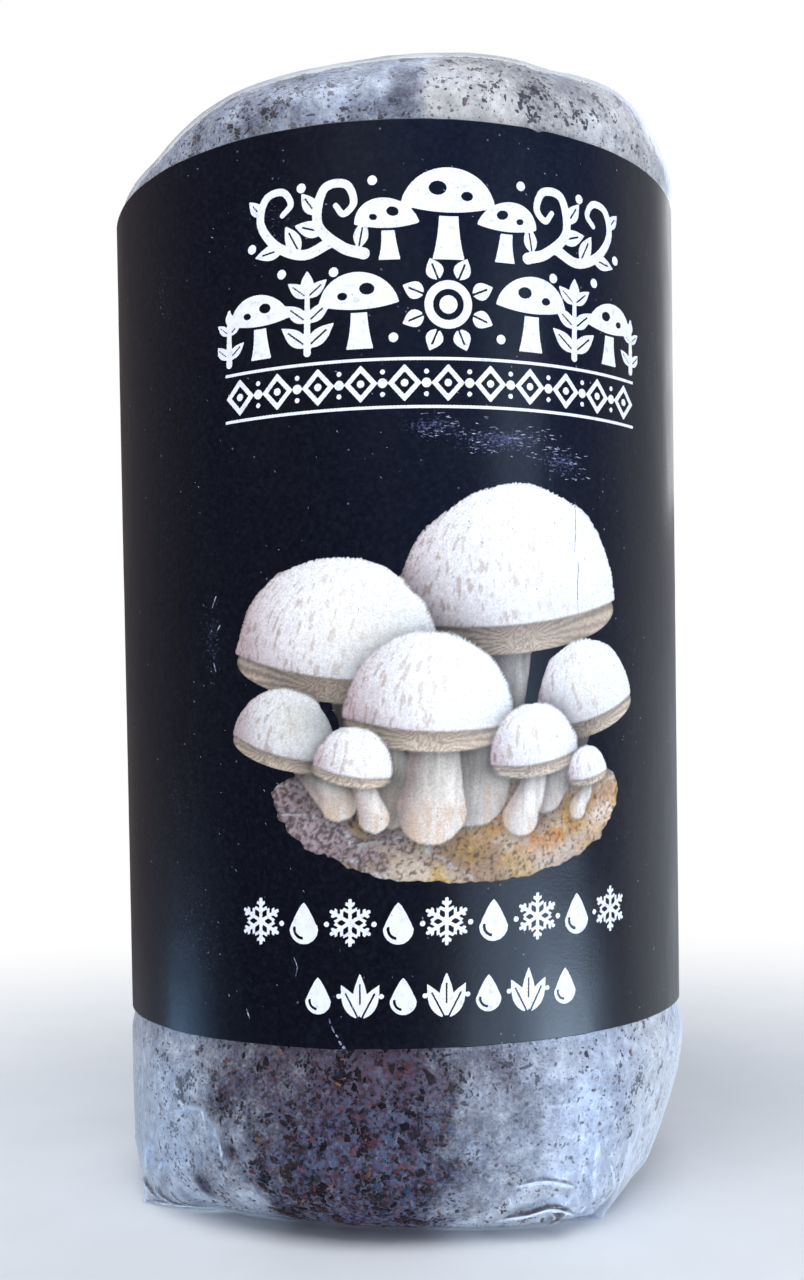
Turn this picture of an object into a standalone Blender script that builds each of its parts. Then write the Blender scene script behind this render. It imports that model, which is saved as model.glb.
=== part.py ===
"""A bagged mushroom grow block: colonised sawdust in a clear gusseted film bag, wrapped in a label.

Units are metres and +Z is up. A heading is an angle in degrees round the block: 0 is the front, which
faces -Y, and 90 is +X. The origin is on the floor under the middle of the block.
"""

import math

import bmesh
import bpy
from mathutils import Vector, noise

# Sheet thicknesses, and the gap that stays between pieces that touch
FILM = 0.0003
PAPER = 0.0003
TAPE = 0.0002
GAP = 0.0003

# Wrap label: a strip 1.5 cm longer than the way round, tilted a little on the bag
LABEL_RADIUS = 0.066
LABEL_BOTTOM = 0.0410
LABEL_TOP = 0.2231
LABEL_TOP_SLOPE = 0.0135
LABEL_BOTTOM_SLOPE = 0.0038
LABEL_SEAM = 166.0
LABEL_OVERLAP = 14.0
LABEL_LEAD = 12.0

# Block: a cylinder a little wider at the top, lumpy where the label doesn't hold it
BLOCK_RADIUS = LABEL_RADIUS - PAPER - GAP - FILM - GAP
BLOCK_BASE = FILM + GAP
BLOCK_TOP = 0.2426
CONE = 0.0051
TOP_SLANT = 0.0020
CROWN = 0.0005
LUMP_HEIGHT = 0.0016
LUMP_SPACING = 0.034
LUMP_FADE = 0.006
LABEL_MARGIN = 0.001
BULGE = 0.0013

# How far the foot is rounded and drawn in, and the shoulder's width and height, at headings round the block
FOOT_ROUNDING = {-110: 0.009, -62: 0.011, -20: 0.0155, 0: 0.014, 30: 0.007, 50: 0.006, 75: 0.008, 110: 0.010}
FOOT_DRAW = {-110: 0.003, -62: 0.001, -20: 0.003, 25: 0.0035, 62: 0.0085, 80: 0.012, 105: 0.011, 150: 0.005}
SHOULDER_WIDTH = {-140: 0.018, -90: 0.016, -60: 0.029, -30: 0.025, 0: 0.0225, 30: 0.021, 60: 0.012, 90: 0.0085}
SHOULDER_DROP = {-140: 0.021, -90: 0.021, -60: 0.0285, -30: 0.021, 0: 0.0225, 30: 0.017, 60: 0.0245, 90: 0.023}
FOOT_DRAW_HEIGHT = 0.036

# Bag: pointed film corners at the foot, as (heading, reach from the axis), so many degrees wide and so high
EARS = ((-62.3, 0.0668), (41.5, 0.0610), (124.6, 0.0615), (-145.4, 0.0610))
EAR_WIDTH = 15.0
EAR_HEIGHT = 0.022

# Bag's neck: flattened across this heading, then folded over towards the back to lie on the top
PANEL_HEADING = -12.0
NECK_SHIFT = 0.003
NECK_STEPS = (0.3, 0.55, 0.77, 0.93)
FLAP_START = (0.0085, 0.0090)
FLAP_HALF_WIDTH = 0.040
FLAP_HALF_DEPTH = 0.0010
FLAP_BEND = 0.0045
FLAP_LEAN = 106.0
FLAP_LENGTH = 0.034

# Filter patch on the flap, and the tape from the flap down over the back shoulder
PATCH_SIZE = 0.022
PATCH_THICKNESS = 0.0005
PATCH_CORNER = 0.003
PATCH_PLACE = 0.0125
PATCH_SIDE = -0.018
TAPE_WIDTH = 0.024
TAPE_SIDE = 0.014
TAPE_ON_FLAP = 0.014

# Mesh fineness
COLUMNS = 52
BASE_STEPS = (0.0, 0.5, 1.0)
FOOT_STEPS = (0.25, 0.5, 0.75)
LOW_STEPS = (0.0, 0.4, 0.8)
HELD_STEPS = (0.0, 0.5, 1.0)
SHOULDER_STEPS = (0.0, 0.2, 0.4, 0.6, 0.8, 1.0)
CROWN_STEPS = (0.5, 1.0)
BEND_STEPS = 5
FLAP_STEPS = 3
LABEL_COLUMNS = 84
TAPE_COLUMNS = 6


def clear_scene():
    for obj in list(bpy.data.objects):
        bpy.data.objects.remove(obj)


def smooth_step(value):
    value = min(1.0, max(0.0, value))
    return value * value * (3.0 - 2.0 * value)


def around(knots, heading):
    """The value at this heading, eased between the knots on either side of it."""
    headings = sorted(knots)
    turned = (heading - headings[0]) % 360.0 + headings[0]
    ends = headings[1:] + [headings[0] + 360.0]
    for low, high in zip(headings, ends):
        if turned <= high:
            break
    first, last = knots[low], knots[headings[(headings.index(low) + 1) % len(headings)]]
    return first + (last - first) * smooth_step((turned - low) / (high - low))


def turned_by(heading, other):
    """The angle from one heading to another, between -180 and 180."""
    return (heading - other + 180.0) % 360.0 - 180.0


def at_heading(heading, radius, height):
    angle = math.radians(heading)
    return Vector((radius * math.sin(angle), -radius * math.cos(angle), height))


def lump(heading, height):
    """How far the block swells above and below the label, which holds it in."""
    outside = max(LABEL_BOTTOM - height, height - LABEL_TOP) - LABEL_MARGIN
    place = at_heading(heading, BLOCK_RADIUS, height) / LUMP_SPACING
    return smooth_step(outside / LUMP_FADE) * (BULGE + LUMP_HEIGHT * noise.noise(place))


def cone_radius(height):
    return BLOCK_RADIUS + CONE * (height - 0.5 * (LABEL_BOTTOM + LABEL_TOP))


def wall_radius(heading, height):
    drawn = max(0.0, 1.0 - height / FOOT_DRAW_HEIGHT) ** 2
    return cone_radius(height) - around(FOOT_DRAW, heading) * drawn


def form_point(heading, zone, step, lift=0.0):
    """A point on the block, or lifted off it. The zones run from the middle of its base to its top."""
    foot = around(FOOT_ROUNDING, heading)
    width = around(SHOULDER_WIDTH, heading)
    drop = around(SHOULDER_DROP, heading)
    slant = TOP_SLANT * math.sin(math.radians(heading))
    shoulder = BLOCK_TOP + slant - drop
    sine, cosine = math.sin(step * math.pi / 2), math.cos(step * math.pi / 2)
    if zone == "base":
        height, out, up = BLOCK_BASE, 0.0, -1.0
        radius = step * (wall_radius(heading, height) - foot)
    elif zone == "foot":
        height, out, up = BLOCK_BASE + foot * (1.0 - cosine), sine, -cosine
        radius = wall_radius(heading, height) - foot * (1.0 - sine)
    elif zone in ("low", "held"):
        ends = (BLOCK_BASE + foot, LABEL_BOTTOM - LABEL_MARGIN)
        if zone == "held":
            ends = (ends[1], min(LABEL_TOP, shoulder - 2 * LABEL_MARGIN) + LABEL_MARGIN)
        height, out, up = ends[0] + step * (ends[1] - ends[0]), 1.0, 0.0
        radius = wall_radius(heading, height)
    elif zone == "shoulder":
        height, out, up = shoulder + drop * sine, cosine, sine
        radius = wall_radius(heading, shoulder) - width * (1.0 - cosine)
    else:
        height, out, up = BLOCK_TOP + (1.0 - step) * slant + CROWN * (1.0 - (1.0 - step) ** 2), 0.0, 1.0
        radius = (1.0 - step) * (wall_radius(heading, shoulder) - width)
    swell = lump(heading, height)
    return at_heading(heading, radius + (lift + swell) * out, height + lift * up + swell * max(0.0, up))


def eared(heading, zone, step, point):
    """The film's point, pulled out towards the bag's corner where one of its ears is."""
    radius = math.hypot(point.x, point.y)
    low = max(0.0, 1.0 - point.z / EAR_HEIGHT)
    share = step if zone == "base" else 1.0
    for ear_heading, reach in EARS:
        near = max(0.0, 1.0 - abs(turned_by(heading, ear_heading)) / EAR_WIDTH)
        radius += near * low * max(0.0, share * (reach - FILM) - radius)
    return at_heading(heading, radius, point.z)


def panel_point(side, back, height):
    """A point in the directions of the flattened neck: along its width, and back across it."""
    angle = math.radians(PANEL_HEADING)
    along = Vector((math.cos(angle), math.sin(angle), 0.0)) * (side + NECK_SHIFT)
    across = Vector((-math.sin(angle), math.cos(angle), 0.0)) * back
    return along + across + Vector((0.0, 0.0, height))


def flap_frame(travel):
    """(back, height, lean) on the folded neck's middle line, so far along it from where it leaves the top."""
    lean = math.radians(min(FLAP_LEAN, math.degrees(travel / FLAP_BEND)))
    run = max(0.0, travel - FLAP_BEND * math.radians(FLAP_LEAN))
    back = FLAP_START[0] + FLAP_BEND * (1.0 - math.cos(lean)) + run * math.sin(lean)
    height = BLOCK_TOP + FLAP_START[1] + FLAP_BEND * math.sin(lean) + run * math.cos(lean)
    return back, height, lean


def flap_point(side, depth, travel):
    """A point of the folded neck. Depth is 0 at its middle and grows towards its underside."""
    back, height, lean = flap_frame(travel)
    return panel_point(side, back + depth * math.cos(lean), height - depth * math.sin(lean))


def flap_travels():
    """Where the folded neck has its sections, first round the bend and then along the flap."""
    bend = FLAP_BEND * math.radians(FLAP_LEAN)
    turning = [bend * step / BEND_STEPS for step in range(BEND_STEPS + 1)]
    return turning + [bend + FLAP_LENGTH * step / FLAP_STEPS for step in range(1, FLAP_STEPS + 1)]


def neck_point(heading, section):
    """A point of the bag above the shoulder: first drawn flat over the top, then folded."""
    angle = math.radians(heading - PANEL_HEADING)
    side, depth = FLAP_HALF_WIDTH * math.sin(angle), -FLAP_HALF_DEPTH * math.cos(angle)
    if section >= len(NECK_STEPS):
        return flap_point(side, depth, flap_travels()[section - len(NECK_STEPS)])
    share = NECK_STEPS[section]
    edge = form_point(heading, "shoulder", 1.0, lift=GAP)
    point = edge.lerp(flap_point(side, depth, 0.0), share)
    point.z = edge.z + (BLOCK_TOP + FLAP_START[1] - edge.z) * (0.6 * share + 0.4 * share**3)
    return point


def stations(*zones):
    return [(zone, step) for zone, steps in zones for step in steps]


def wall_stations():
    below = stations(("base", BASE_STEPS), ("foot", FOOT_STEPS), ("low", LOW_STEPS))
    return below + stations(("held", HELD_STEPS), ("shoulder", SHOULDER_STEPS))


def rounded_form(rows, place):
    """A sphere's mesh with each ring moved to its own row of the form, from the bottom pole to the top."""
    mesh = bmesh.new()
    bmesh.ops.create_uvsphere(mesh, u_segments=COLUMNS, v_segments=rows, radius=1.0)
    for vert in mesh.verts:
        row = round(rows * (1.0 - math.acos(max(-1.0, min(1.0, vert.co.z))) / math.pi))
        heading = math.degrees(math.atan2(vert.co.x, -vert.co.y))
        vert.co = place(row, heading)
    return mesh


def new_object(name, mesh, collection, material, smooth_angle=40.0):
    data = bpy.data.meshes.new(name)
    bmesh.ops.recalc_face_normals(mesh, faces=mesh.faces)
    mesh.to_mesh(data)
    mesh.free()
    data.shade_smooth()
    data.set_sharp_from_angle(angle=math.radians(smooth_angle))
    obj = bpy.data.objects.new(name, data)
    collection.objects.link(obj)
    data.materials.append(material)
    return obj


def thicken(obj, thickness, offset=1.0):
    """Gives an open sheet its thickness, on the outer side unless told otherwise."""
    modifier = obj.modifiers.new("thickness", "SOLIDIFY")
    modifier.thickness = thickness
    modifier.offset = offset
    modifier.use_even_offset = True
    modifier.use_quality_normals = True


def plain_material(name, colour, roughness, alpha=1.0):
    material = bpy.data.materials.new(name)
    material.use_nodes = True
    shader = material.node_tree.nodes["Principled BSDF"]
    shader.inputs["Base Color"].default_value = (*colour, 1.0)
    shader.inputs["Roughness"].default_value = roughness
    shader.inputs["Metallic"].default_value = 0.0
    shader.inputs["Alpha"].default_value = alpha
    return material


def mycelium_material():
    return plain_material("mycelium", (0.55, 0.55, 0.62), 0.85)


def film_material():
    return plain_material("clear_film", (0.80, 0.85, 0.92), 0.18, alpha=0.25)


def label_material():
    return plain_material("label_gloss", (0.012, 0.014, 0.020), 0.28)


def patch_material():
    return plain_material("filter_fleece", (0.85, 0.86, 0.86), 0.80)


def tape_material():
    return plain_material("clear_tape", (0.85, 0.84, 0.78), 0.12, alpha=0.35)


def add_block(collection):
    rows = wall_stations() + stations(("crown", CROWN_STEPS))
    mesh = rounded_form(len(rows) - 1, lambda row, heading: form_point(heading, *rows[row]))
    return new_object("substrate_block", mesh, collection, mycelium_material())


def add_bag(collection):
    """The film from under the block to the bag's mouth, where the sheet stays open."""
    rows = wall_stations()
    sections = len(NECK_STEPS) + len(flap_travels())

    def place(row, heading):
        if row < len(rows):
            return eared(heading, *rows[row], form_point(heading, *rows[row], lift=GAP))
        return neck_point(heading, min(row - len(rows), sections - 1))

    mesh = rounded_form(len(rows) + sections, place)
    pole = [vert for vert in mesh.verts if len(vert.link_edges) == COLUMNS and vert.co.z > BLOCK_TOP / 2]
    bmesh.ops.delete(mesh, geom=pole, context="VERTS")
    bag = new_object("grow_bag", mesh, collection, film_material())
    thicken(bag, FILM)
    return bag


def label_point(turn, share):
    """A point of the label's inner face: degrees turned from its hidden end, and share of its height."""
    heading = LABEL_SEAM + turn
    side = LABEL_RADIUS * math.sin(math.radians(heading))
    low = LABEL_BOTTOM + LABEL_BOTTOM_SLOPE * side
    high = LABEL_TOP + LABEL_TOP_SLOPE * side
    height = low + share * (high - low)
    over = smooth_step((turn - 360.0 + LABEL_LEAD) / LABEL_LEAD)
    lift = GAP + FILM + GAP + over * (PAPER + GAP)
    return at_heading(heading, cone_radius(height) + lift, height)


def sheet(columns, rows, place):
    """A flat grid with each point moved to its place, given as shares along and across the sheet."""
    mesh = bmesh.new()
    bmesh.ops.create_grid(mesh, x_segments=columns, y_segments=rows, size=1.0)
    for vert in mesh.verts:
        vert.co = place(0.5 * (vert.co.x + 1.0), 0.5 * (vert.co.y + 1.0))
    return mesh


def outward(obj, middle):
    """Turns the sheet's faces away from this point, so that its thickness grows outward."""
    face = obj.data.polygons[0]
    if face.normal.dot(face.center - middle) < 0.0:
        obj.data.flip_normals()


def add_label(collection):
    turns = 360.0 + LABEL_OVERLAP
    mesh = sheet(LABEL_COLUMNS, 1, lambda along, across: label_point(along * turns, across))
    label = new_object("wrap_label", mesh, collection, label_material())
    outward(label, Vector((0.0, 0.0, 0.5 * (LABEL_BOTTOM + LABEL_TOP))))
    thicken(label, PAPER)
    return label


def add_filter_patch(collection):
    """A square of fleece with rounded corners on the upper face of the flap."""
    mesh = bmesh.new()
    bmesh.ops.create_cube(mesh, size=1.0)
    bmesh.ops.scale(mesh, vec=(PATCH_SIZE, PATCH_SIZE, PATCH_THICKNESS), verts=mesh.verts)
    upright = [edge for edge in mesh.edges if edge.calc_length() < 2 * PATCH_THICKNESS]
    bmesh.ops.bevel(mesh, geom=upright, offset=PATCH_CORNER, segments=4, profile=0.5, affect="EDGES")
    surface = FLAP_HALF_DEPTH + FILM + GAP
    middle = FLAP_BEND * math.radians(FLAP_LEAN) + PATCH_PLACE
    for vert in mesh.verts:
        depth = -surface - PATCH_THICKNESS / 2 - vert.co.z
        vert.co = flap_point(PATCH_SIDE + vert.co.x, depth, middle + vert.co.y)
    return new_object("filter_patch", mesh, collection, patch_material())


def add_tape(collection):
    """A strip stuck to the end of the flap and carried over the mouth onto the back of the shoulder."""
    end = FLAP_BEND * math.radians(FLAP_LEAN) + FLAP_LENGTH
    surface = FLAP_HALF_DEPTH + FILM + GAP
    on_flap = [end - TAPE_ON_FLAP, end - TAPE_ON_FLAP / 2, end + FILM]
    down_shoulder = SHOULDER_STEPS[4:0:-1]
    back_heading = PANEL_HEADING + 180.0

    def place(along, across):
        row = round(along * (len(on_flap) + len(down_shoulder) - 1))
        side = TAPE_SIDE + (across - 0.5) * TAPE_WIDTH
        if row < len(on_flap):
            return flap_point(side, -surface, on_flap[row])
        heading = back_heading - math.degrees((side + NECK_SHIFT) / BLOCK_RADIUS)
        return form_point(heading, "shoulder", down_shoulder[row - len(on_flap)], lift=GAP + FILM + 2 * GAP)

    mesh = sheet(len(on_flap) + len(down_shoulder) - 1, TAPE_COLUMNS, place)
    tape = new_object("closing_tape", mesh, collection, tape_material())
    outward(tape, Vector((0.0, 0.0, BLOCK_TOP / 2)))
    thicken(tape, TAPE)
    return tape


def main():
    clear_scene()
    collection = bpy.data.collections.new("grow_block")
    bpy.context.scene.collection.children.link(collection)
    add_block(collection)
    add_bag(collection)
    add_label(collection)
    add_filter_patch(collection)
    add_tape(collection)


main()
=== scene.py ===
"""The looks of a bagged mushroom grow block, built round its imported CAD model.

Units are metres and +Z is up, and the printed shapes are drawn in millimetres. A heading is an angle in
degrees round the block: 0 is the front, which faces -Y, and 90 is +X.
"""

import math
import random

import bpy
import numpy as np
from mathutils import Euler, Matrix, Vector, noise


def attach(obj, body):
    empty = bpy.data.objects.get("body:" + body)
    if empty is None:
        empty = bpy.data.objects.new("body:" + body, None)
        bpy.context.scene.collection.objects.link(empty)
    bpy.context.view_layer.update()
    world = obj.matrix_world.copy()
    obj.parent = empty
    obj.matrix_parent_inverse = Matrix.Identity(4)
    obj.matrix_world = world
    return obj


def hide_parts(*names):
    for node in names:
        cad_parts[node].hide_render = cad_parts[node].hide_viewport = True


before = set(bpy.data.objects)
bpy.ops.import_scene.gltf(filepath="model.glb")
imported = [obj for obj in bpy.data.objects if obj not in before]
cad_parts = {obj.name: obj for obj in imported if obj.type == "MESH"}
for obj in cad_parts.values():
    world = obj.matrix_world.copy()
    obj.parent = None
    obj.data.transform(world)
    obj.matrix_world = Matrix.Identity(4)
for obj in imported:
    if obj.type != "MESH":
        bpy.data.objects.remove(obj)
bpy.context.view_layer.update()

# Sheet thicknesses, and the gap between pieces that touch, as in the CAD
FILM = 0.0003
PAPER = 0.0003
TAPE = 0.0002
GAP = 0.0003

# Wrap label
LABEL_RADIUS = 0.066
LABEL_BOTTOM = 0.0410
LABEL_TOP = 0.2231
LABEL_TOP_SLOPE = 0.0135
LABEL_BOTTOM_SLOPE = 0.0038
LABEL_SEAM = 166.0
LABEL_OVERLAP = 14.0
LABEL_LEAD = 12.0

# Block
BLOCK_RADIUS = LABEL_RADIUS - PAPER - GAP - FILM - GAP
BLOCK_BASE = FILM + GAP
BLOCK_TOP = 0.2426
CONE = 0.0051
TOP_SLANT = 0.0020
CROWN = 0.0005
LUMP_HEIGHT = 0.0016
LUMP_SPACING = 0.034
LUMP_FADE = 0.006
LABEL_MARGIN = 0.001
BULGE = 0.0013
TOP_SWELL = 0.0012
FOOT_ROUNDING = {
    -110: 0.009, -62: 0.011, -20: 0.0155, 0: 0.014, 30: 0.007, 50: 0.006, 75: 0.008, 110: 0.010,
}
FOOT_DRAW = {
    -110: 0.003, -62: 0.001, -20: 0.003, 25: 0.0035, 62: 0.0085, 80: 0.012, 105: 0.011, 150: 0.005,
}
FOOT_DRAW_HEIGHT = 0.036
SHOULDER_WIDTH = {
    -140: 0.018, -90: 0.016, -60: 0.029, -30: 0.025, 0: 0.0225, 30: 0.021, 60: 0.012, 90: 0.0085,
}
SHOULDER_DROP = {
    -140: 0.021, -90: 0.021, -60: 0.0285, -30: 0.021, 0: 0.0225, 30: 0.017, 60: 0.0245, 90: 0.023,
}

# Bag
EARS = ((-62.3, 0.0668), (41.5, 0.0610), (124.6, 0.0615), (-145.4, 0.0610))
EAR_WIDTH = 15.0
EAR_HEIGHT = 0.022
PANEL_HEADING = -12.0
NECK_SHIFT = 0.003
FLAP_START = (0.0085, 0.0090)
FLAP_HALF_WIDTH = 0.040
FLAP_HALF_DEPTH = 0.0010
FLAP_BEND = 0.0045
FLAP_LEAN = 106.0
FLAP_LENGTH = 0.034

# Filter patch and tape
PATCH_SIZE = 0.022
PATCH_THICKNESS = 0.0005
PATCH_CORNER = 0.003
PATCH_PLACE = 0.0125
PATCH_SIDE = -0.018
TAPE_WIDTH = 0.024
TAPE_SIDE = 0.014
TAPE_ON_FLAP = 0.014

# Camera: where it stands, its small roll, and how far the picture is shifted up
CAMERA_PLACE = (0.0, -0.33178, 0.1008)
CAMERA_ROLL = 0.0158
CAMERA_LENS = 38.2
CAMERA_SHIFT = 0.0815

# Numbers that steer the looks
MM = 0.001
SEED = 11
# What shows of the block below the first height is its foot, and above the second its top
FOOT_SHOWS_BELOW = 0.1
TOP_SHOWS_ABOVE = 0.2
INK_LIFT = 0.00005
PICTURE_LIFT = 0.00004
# The print's middle, and how far it moves to the right for each millimetre up from its lowest row
PRINT_HEADING = 7.0
PRINT_DRIFT = 0.018
PRINT_FOOT = 52.0


def smooth_step(value):
    """0 up to 0 and 1 from 1 on, with a smooth rise between them."""
    value = np.clip(value, 0.0, 1.0)
    return value * value * (3.0 - 2.0 * value)


def around(knots, headings):
    """The value at each heading, eased between the knots on either side of it."""
    keys = sorted(knots)
    ends = np.array(keys + [keys[0] + 360.0], dtype=float)
    values = np.array([knots[key] for key in keys] + [knots[keys[0]]])
    turned = (headings - keys[0]) % 360.0 + keys[0]
    low = np.clip(np.searchsorted(ends, turned, side="right") - 1, 0, len(keys) - 1)
    share = smooth_step((turned - ends[low]) / (ends[low + 1] - ends[low]))
    return values[low] + (values[low + 1] - values[low]) * share


def turned_by(headings, other):
    """The angle from one heading to another, between -180 and 180."""
    return (headings - other + 180.0) % 360.0 - 180.0


def heading_of(points):
    return np.degrees(np.arctan2(points[..., 0], -points[..., 1]))


def at_heading(headings, radii, heights):
    angles = np.radians(headings)
    return np.stack(np.broadcast_arrays(radii * np.sin(angles), -radii * np.cos(angles), heights), -1)


def away_from(headings, heights, heading, height):
    """The distance over the block's wall to a place whose height is in millimetres."""
    arcs = np.radians(turned_by(headings, heading)) * BLOCK_RADIUS
    return np.hypot(arcs, heights - height * MM)


def noise_at(points, spacing, layers=1, seed=0.0):
    """Smooth noise of about -1 to 1 at each point. Each further layer is twice as fine, half as strong."""
    total = np.zeros(points.shape[:-1])
    for layer in range(layers):
        scaled = points.reshape(-1, 3) * (2.0**layer / spacing) + seed
        values = [noise.noise(place) for place in scaled.tolist()]
        total += np.reshape(values, total.shape) * 0.5**layer
    return total


def lump(headings, heights):
    """How far the block swells above and below the label, which holds it in."""
    outside = np.maximum(LABEL_BOTTOM - heights, heights - LABEL_TOP) - LABEL_MARGIN
    places = at_heading(headings, BLOCK_RADIUS, heights)
    return smooth_step(outside / LUMP_FADE) * (BULGE + LUMP_HEIGHT * noise_at(places, LUMP_SPACING))


def cone_radius(heights):
    return BLOCK_RADIUS + CONE * (heights - 0.5 * (LABEL_BOTTOM + LABEL_TOP))


def wall_radius(headings, heights):
    drawn = np.maximum(0.0, 1.0 - heights / FOOT_DRAW_HEIGHT) ** 2
    return cone_radius(heights) - around(FOOT_DRAW, headings) * drawn


def form_row(headings, zone, step, lift=0.0):
    """A ring of the block's form, or one lifted off it. The zones run from its base's middle to its top."""
    foot = around(FOOT_ROUNDING, headings)
    width = around(SHOULDER_WIDTH, headings)
    drop = around(SHOULDER_DROP, headings)
    slant = TOP_SLANT * np.sin(np.radians(headings))
    shoulder = BLOCK_TOP + slant - drop
    sine, cosine = math.sin(step * math.pi / 2), math.cos(step * math.pi / 2)
    if zone == "base":
        heights, out, up = np.full_like(headings, BLOCK_BASE), 0.0, -1.0
        radii = step * (wall_radius(headings, heights) - foot)
    elif zone == "foot":
        heights, out, up = BLOCK_BASE + foot * (1.0 - cosine), sine, -cosine
        radii = wall_radius(headings, heights) - foot * (1.0 - sine)
    elif zone in ("low", "held"):
        low, high = BLOCK_BASE + foot, np.full_like(headings, LABEL_BOTTOM - LABEL_MARGIN)
        if zone == "held":
            low, high = high, np.minimum(LABEL_TOP, shoulder - 2 * LABEL_MARGIN) + LABEL_MARGIN
        heights, out, up = low + step * (high - low), 1.0, 0.0
        radii = wall_radius(headings, heights)
    elif zone == "shoulder":
        heights, out, up = shoulder + drop * sine, cosine, sine
        radii = wall_radius(headings, shoulder) - width * (1.0 - cosine)
    else:
        heights, out, up = BLOCK_TOP + (1.0 - step) * slant + CROWN * (1.0 - (1.0 - step) ** 2), 0.0, 1.0
        radii = (1.0 - step) * (wall_radius(headings, shoulder) - width)
    swell = lump(headings, heights)
    risen = np.minimum(swell, TOP_SWELL) * max(0.0, up)
    return at_heading(headings, radii + (lift + swell) * out, heights + lift * up + risen)


def eared(headings, zone, step, points, inset=0.0):
    """A ring of the film, or of the block inset in it, pulled out towards the bag's corners."""
    radii = np.hypot(points[:, 0], points[:, 1])
    low = np.maximum(0.0, 1.0 - points[:, 2] / EAR_HEIGHT)
    share = step if zone == "base" else 1.0
    for ear_heading, reach in EARS:
        near = np.maximum(0.0, 1.0 - np.abs(turned_by(headings, ear_heading)) / EAR_WIDTH)
        radii = radii + near * low * np.maximum(0.0, share * (reach - FILM - inset) - radii)
    return at_heading(headings, radii, points[:, 2])


def panel_points(sides, backs, heights):
    """Points in the directions of the flattened neck: along its width, and back across it."""
    angle = math.radians(PANEL_HEADING)
    along = np.multiply.outer(sides + NECK_SHIFT, (math.cos(angle), math.sin(angle), 0.0))
    across = np.multiply.outer(backs, (-math.sin(angle), math.cos(angle), 0.0))
    return along + across + np.multiply.outer(heights, (0.0, 0.0, 1.0))


def flap_frame(travels):
    """(back, height, lean) of the folded neck's middle line, this far from where it leaves the top."""
    lean = np.minimum(math.radians(FLAP_LEAN), travels / FLAP_BEND)
    run = np.maximum(0.0, travels - FLAP_BEND * math.radians(FLAP_LEAN))
    back = FLAP_START[0] + FLAP_BEND * (1.0 - np.cos(lean)) + run * np.sin(lean)
    height = BLOCK_TOP + FLAP_START[1] + FLAP_BEND * np.sin(lean) + run * np.cos(lean)
    return back, height, lean


def flap_points(sides, depths, travels):
    """Points of the folded neck. Depth is 0 at its middle and grows towards its underside."""
    back, height, lean = flap_frame(travels)
    return panel_points(sides, back + depths * np.cos(lean), height - depths * np.sin(lean))


def flap_end():
    return FLAP_BEND * math.radians(FLAP_LEAN) + FLAP_LENGTH


def label_heights(headings, heights):
    """Heights on the label, which is tilted a little, from heights along its middle line."""
    sides = LABEL_RADIUS * np.sin(np.radians(headings))
    share = (heights - LABEL_BOTTOM) / (LABEL_TOP - LABEL_BOTTOM)
    return heights + sides * (LABEL_BOTTOM_SLOPE + share * (LABEL_TOP_SLOPE - LABEL_BOTTOM_SLOPE))


def label_wave(headings, heights):
    """How far the label is pressed in, in soft upright waves that bend its reflections."""
    places = at_heading(headings, LABEL_RADIUS, heights * 0.25)
    finer = at_heading(headings, LABEL_RADIUS, heights)
    return -0.00008 + 0.00007 * noise_at(places, 0.016) + 0.00003 * noise_at(finer, 0.007)


def on_label(headings, heights, lift):
    """Points over the label's outer face."""
    tilted = label_heights(headings, heights)
    radii = cone_radius(tilted) + GAP + FILM + GAP + PAPER + label_wave(headings, heights)
    return at_heading(headings, radii + lift, tilted)


def new_object(name, points, faces, materials, body="root"):
    """A smooth mesh object from points and faces, which rides on the CAD's body."""
    mesh = bpy.data.meshes.new(name)
    mesh.from_pydata(points.tolist(), [], faces)
    mesh.validate()
    mesh.shade_smooth()
    for material in materials:
        mesh.materials.append(material)
    obj = bpy.data.objects.new(name, mesh)
    bpy.context.scene.collection.objects.link(obj)
    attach(obj, body)
    return obj


def give(obj, name, values):
    """Stores a number, or a colour, for each point of the object."""
    if np.ndim(values) == 1:
        attribute = obj.data.attributes.new(name, "FLOAT", "POINT")
        attribute.data.foreach_set("value", np.asarray(values, np.float32))
    else:
        attribute = obj.data.attributes.new(name, "FLOAT_COLOR", "POINT")
        colours = np.concatenate([values, np.ones((len(values), 1))], 1)
        attribute.data.foreach_set("color", np.asarray(colours, np.float32).ravel())


def grid_faces(rows, columns, closed=False):
    """Quads between rows of points that are numbered row by row."""
    index = np.arange(rows * columns).reshape(rows, columns)
    following = np.roll(index, -1, axis=1)
    last = columns if closed else columns - 1
    low, high = index[:-1, :last], index[1:, :last]
    quads = np.stack([low, following[:-1, :last], following[1:, :last], high], -1)
    return quads.reshape(-1, 4).tolist()


def ring_fan(ring, middle, outward=True):
    """Triangles from a closed ring of point numbers to one in the middle."""
    following = ring[1:] + ring[:1]
    pairs = zip(ring, following) if outward else zip(following, ring)
    return [(first, second, middle) for first, second in pairs]


def round_headings(front, back):
    """Headings once round, closer together over the front, which the photograph shows."""
    ahead = np.linspace(-100.0, 100.0, front, endpoint=False)
    return np.concatenate([ahead, np.linspace(100.0, 260.0, back, endpoint=False)])


def thicken(obj, thickness, offset=1.0):
    modifier = obj.modifiers.new("thickness", "SOLIDIFY")
    modifier.thickness = thickness
    modifier.offset = offset
    modifier.use_quality_normals = True


# Node helpers


def new_material(name):
    """A material with the helper for its nodes, and its surface shader."""
    material = bpy.data.materials.new(name)
    material.use_nodes = True
    tree = material.node_tree
    return material, Nodes(tree), tree.nodes["Principled BSDF"]


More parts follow.
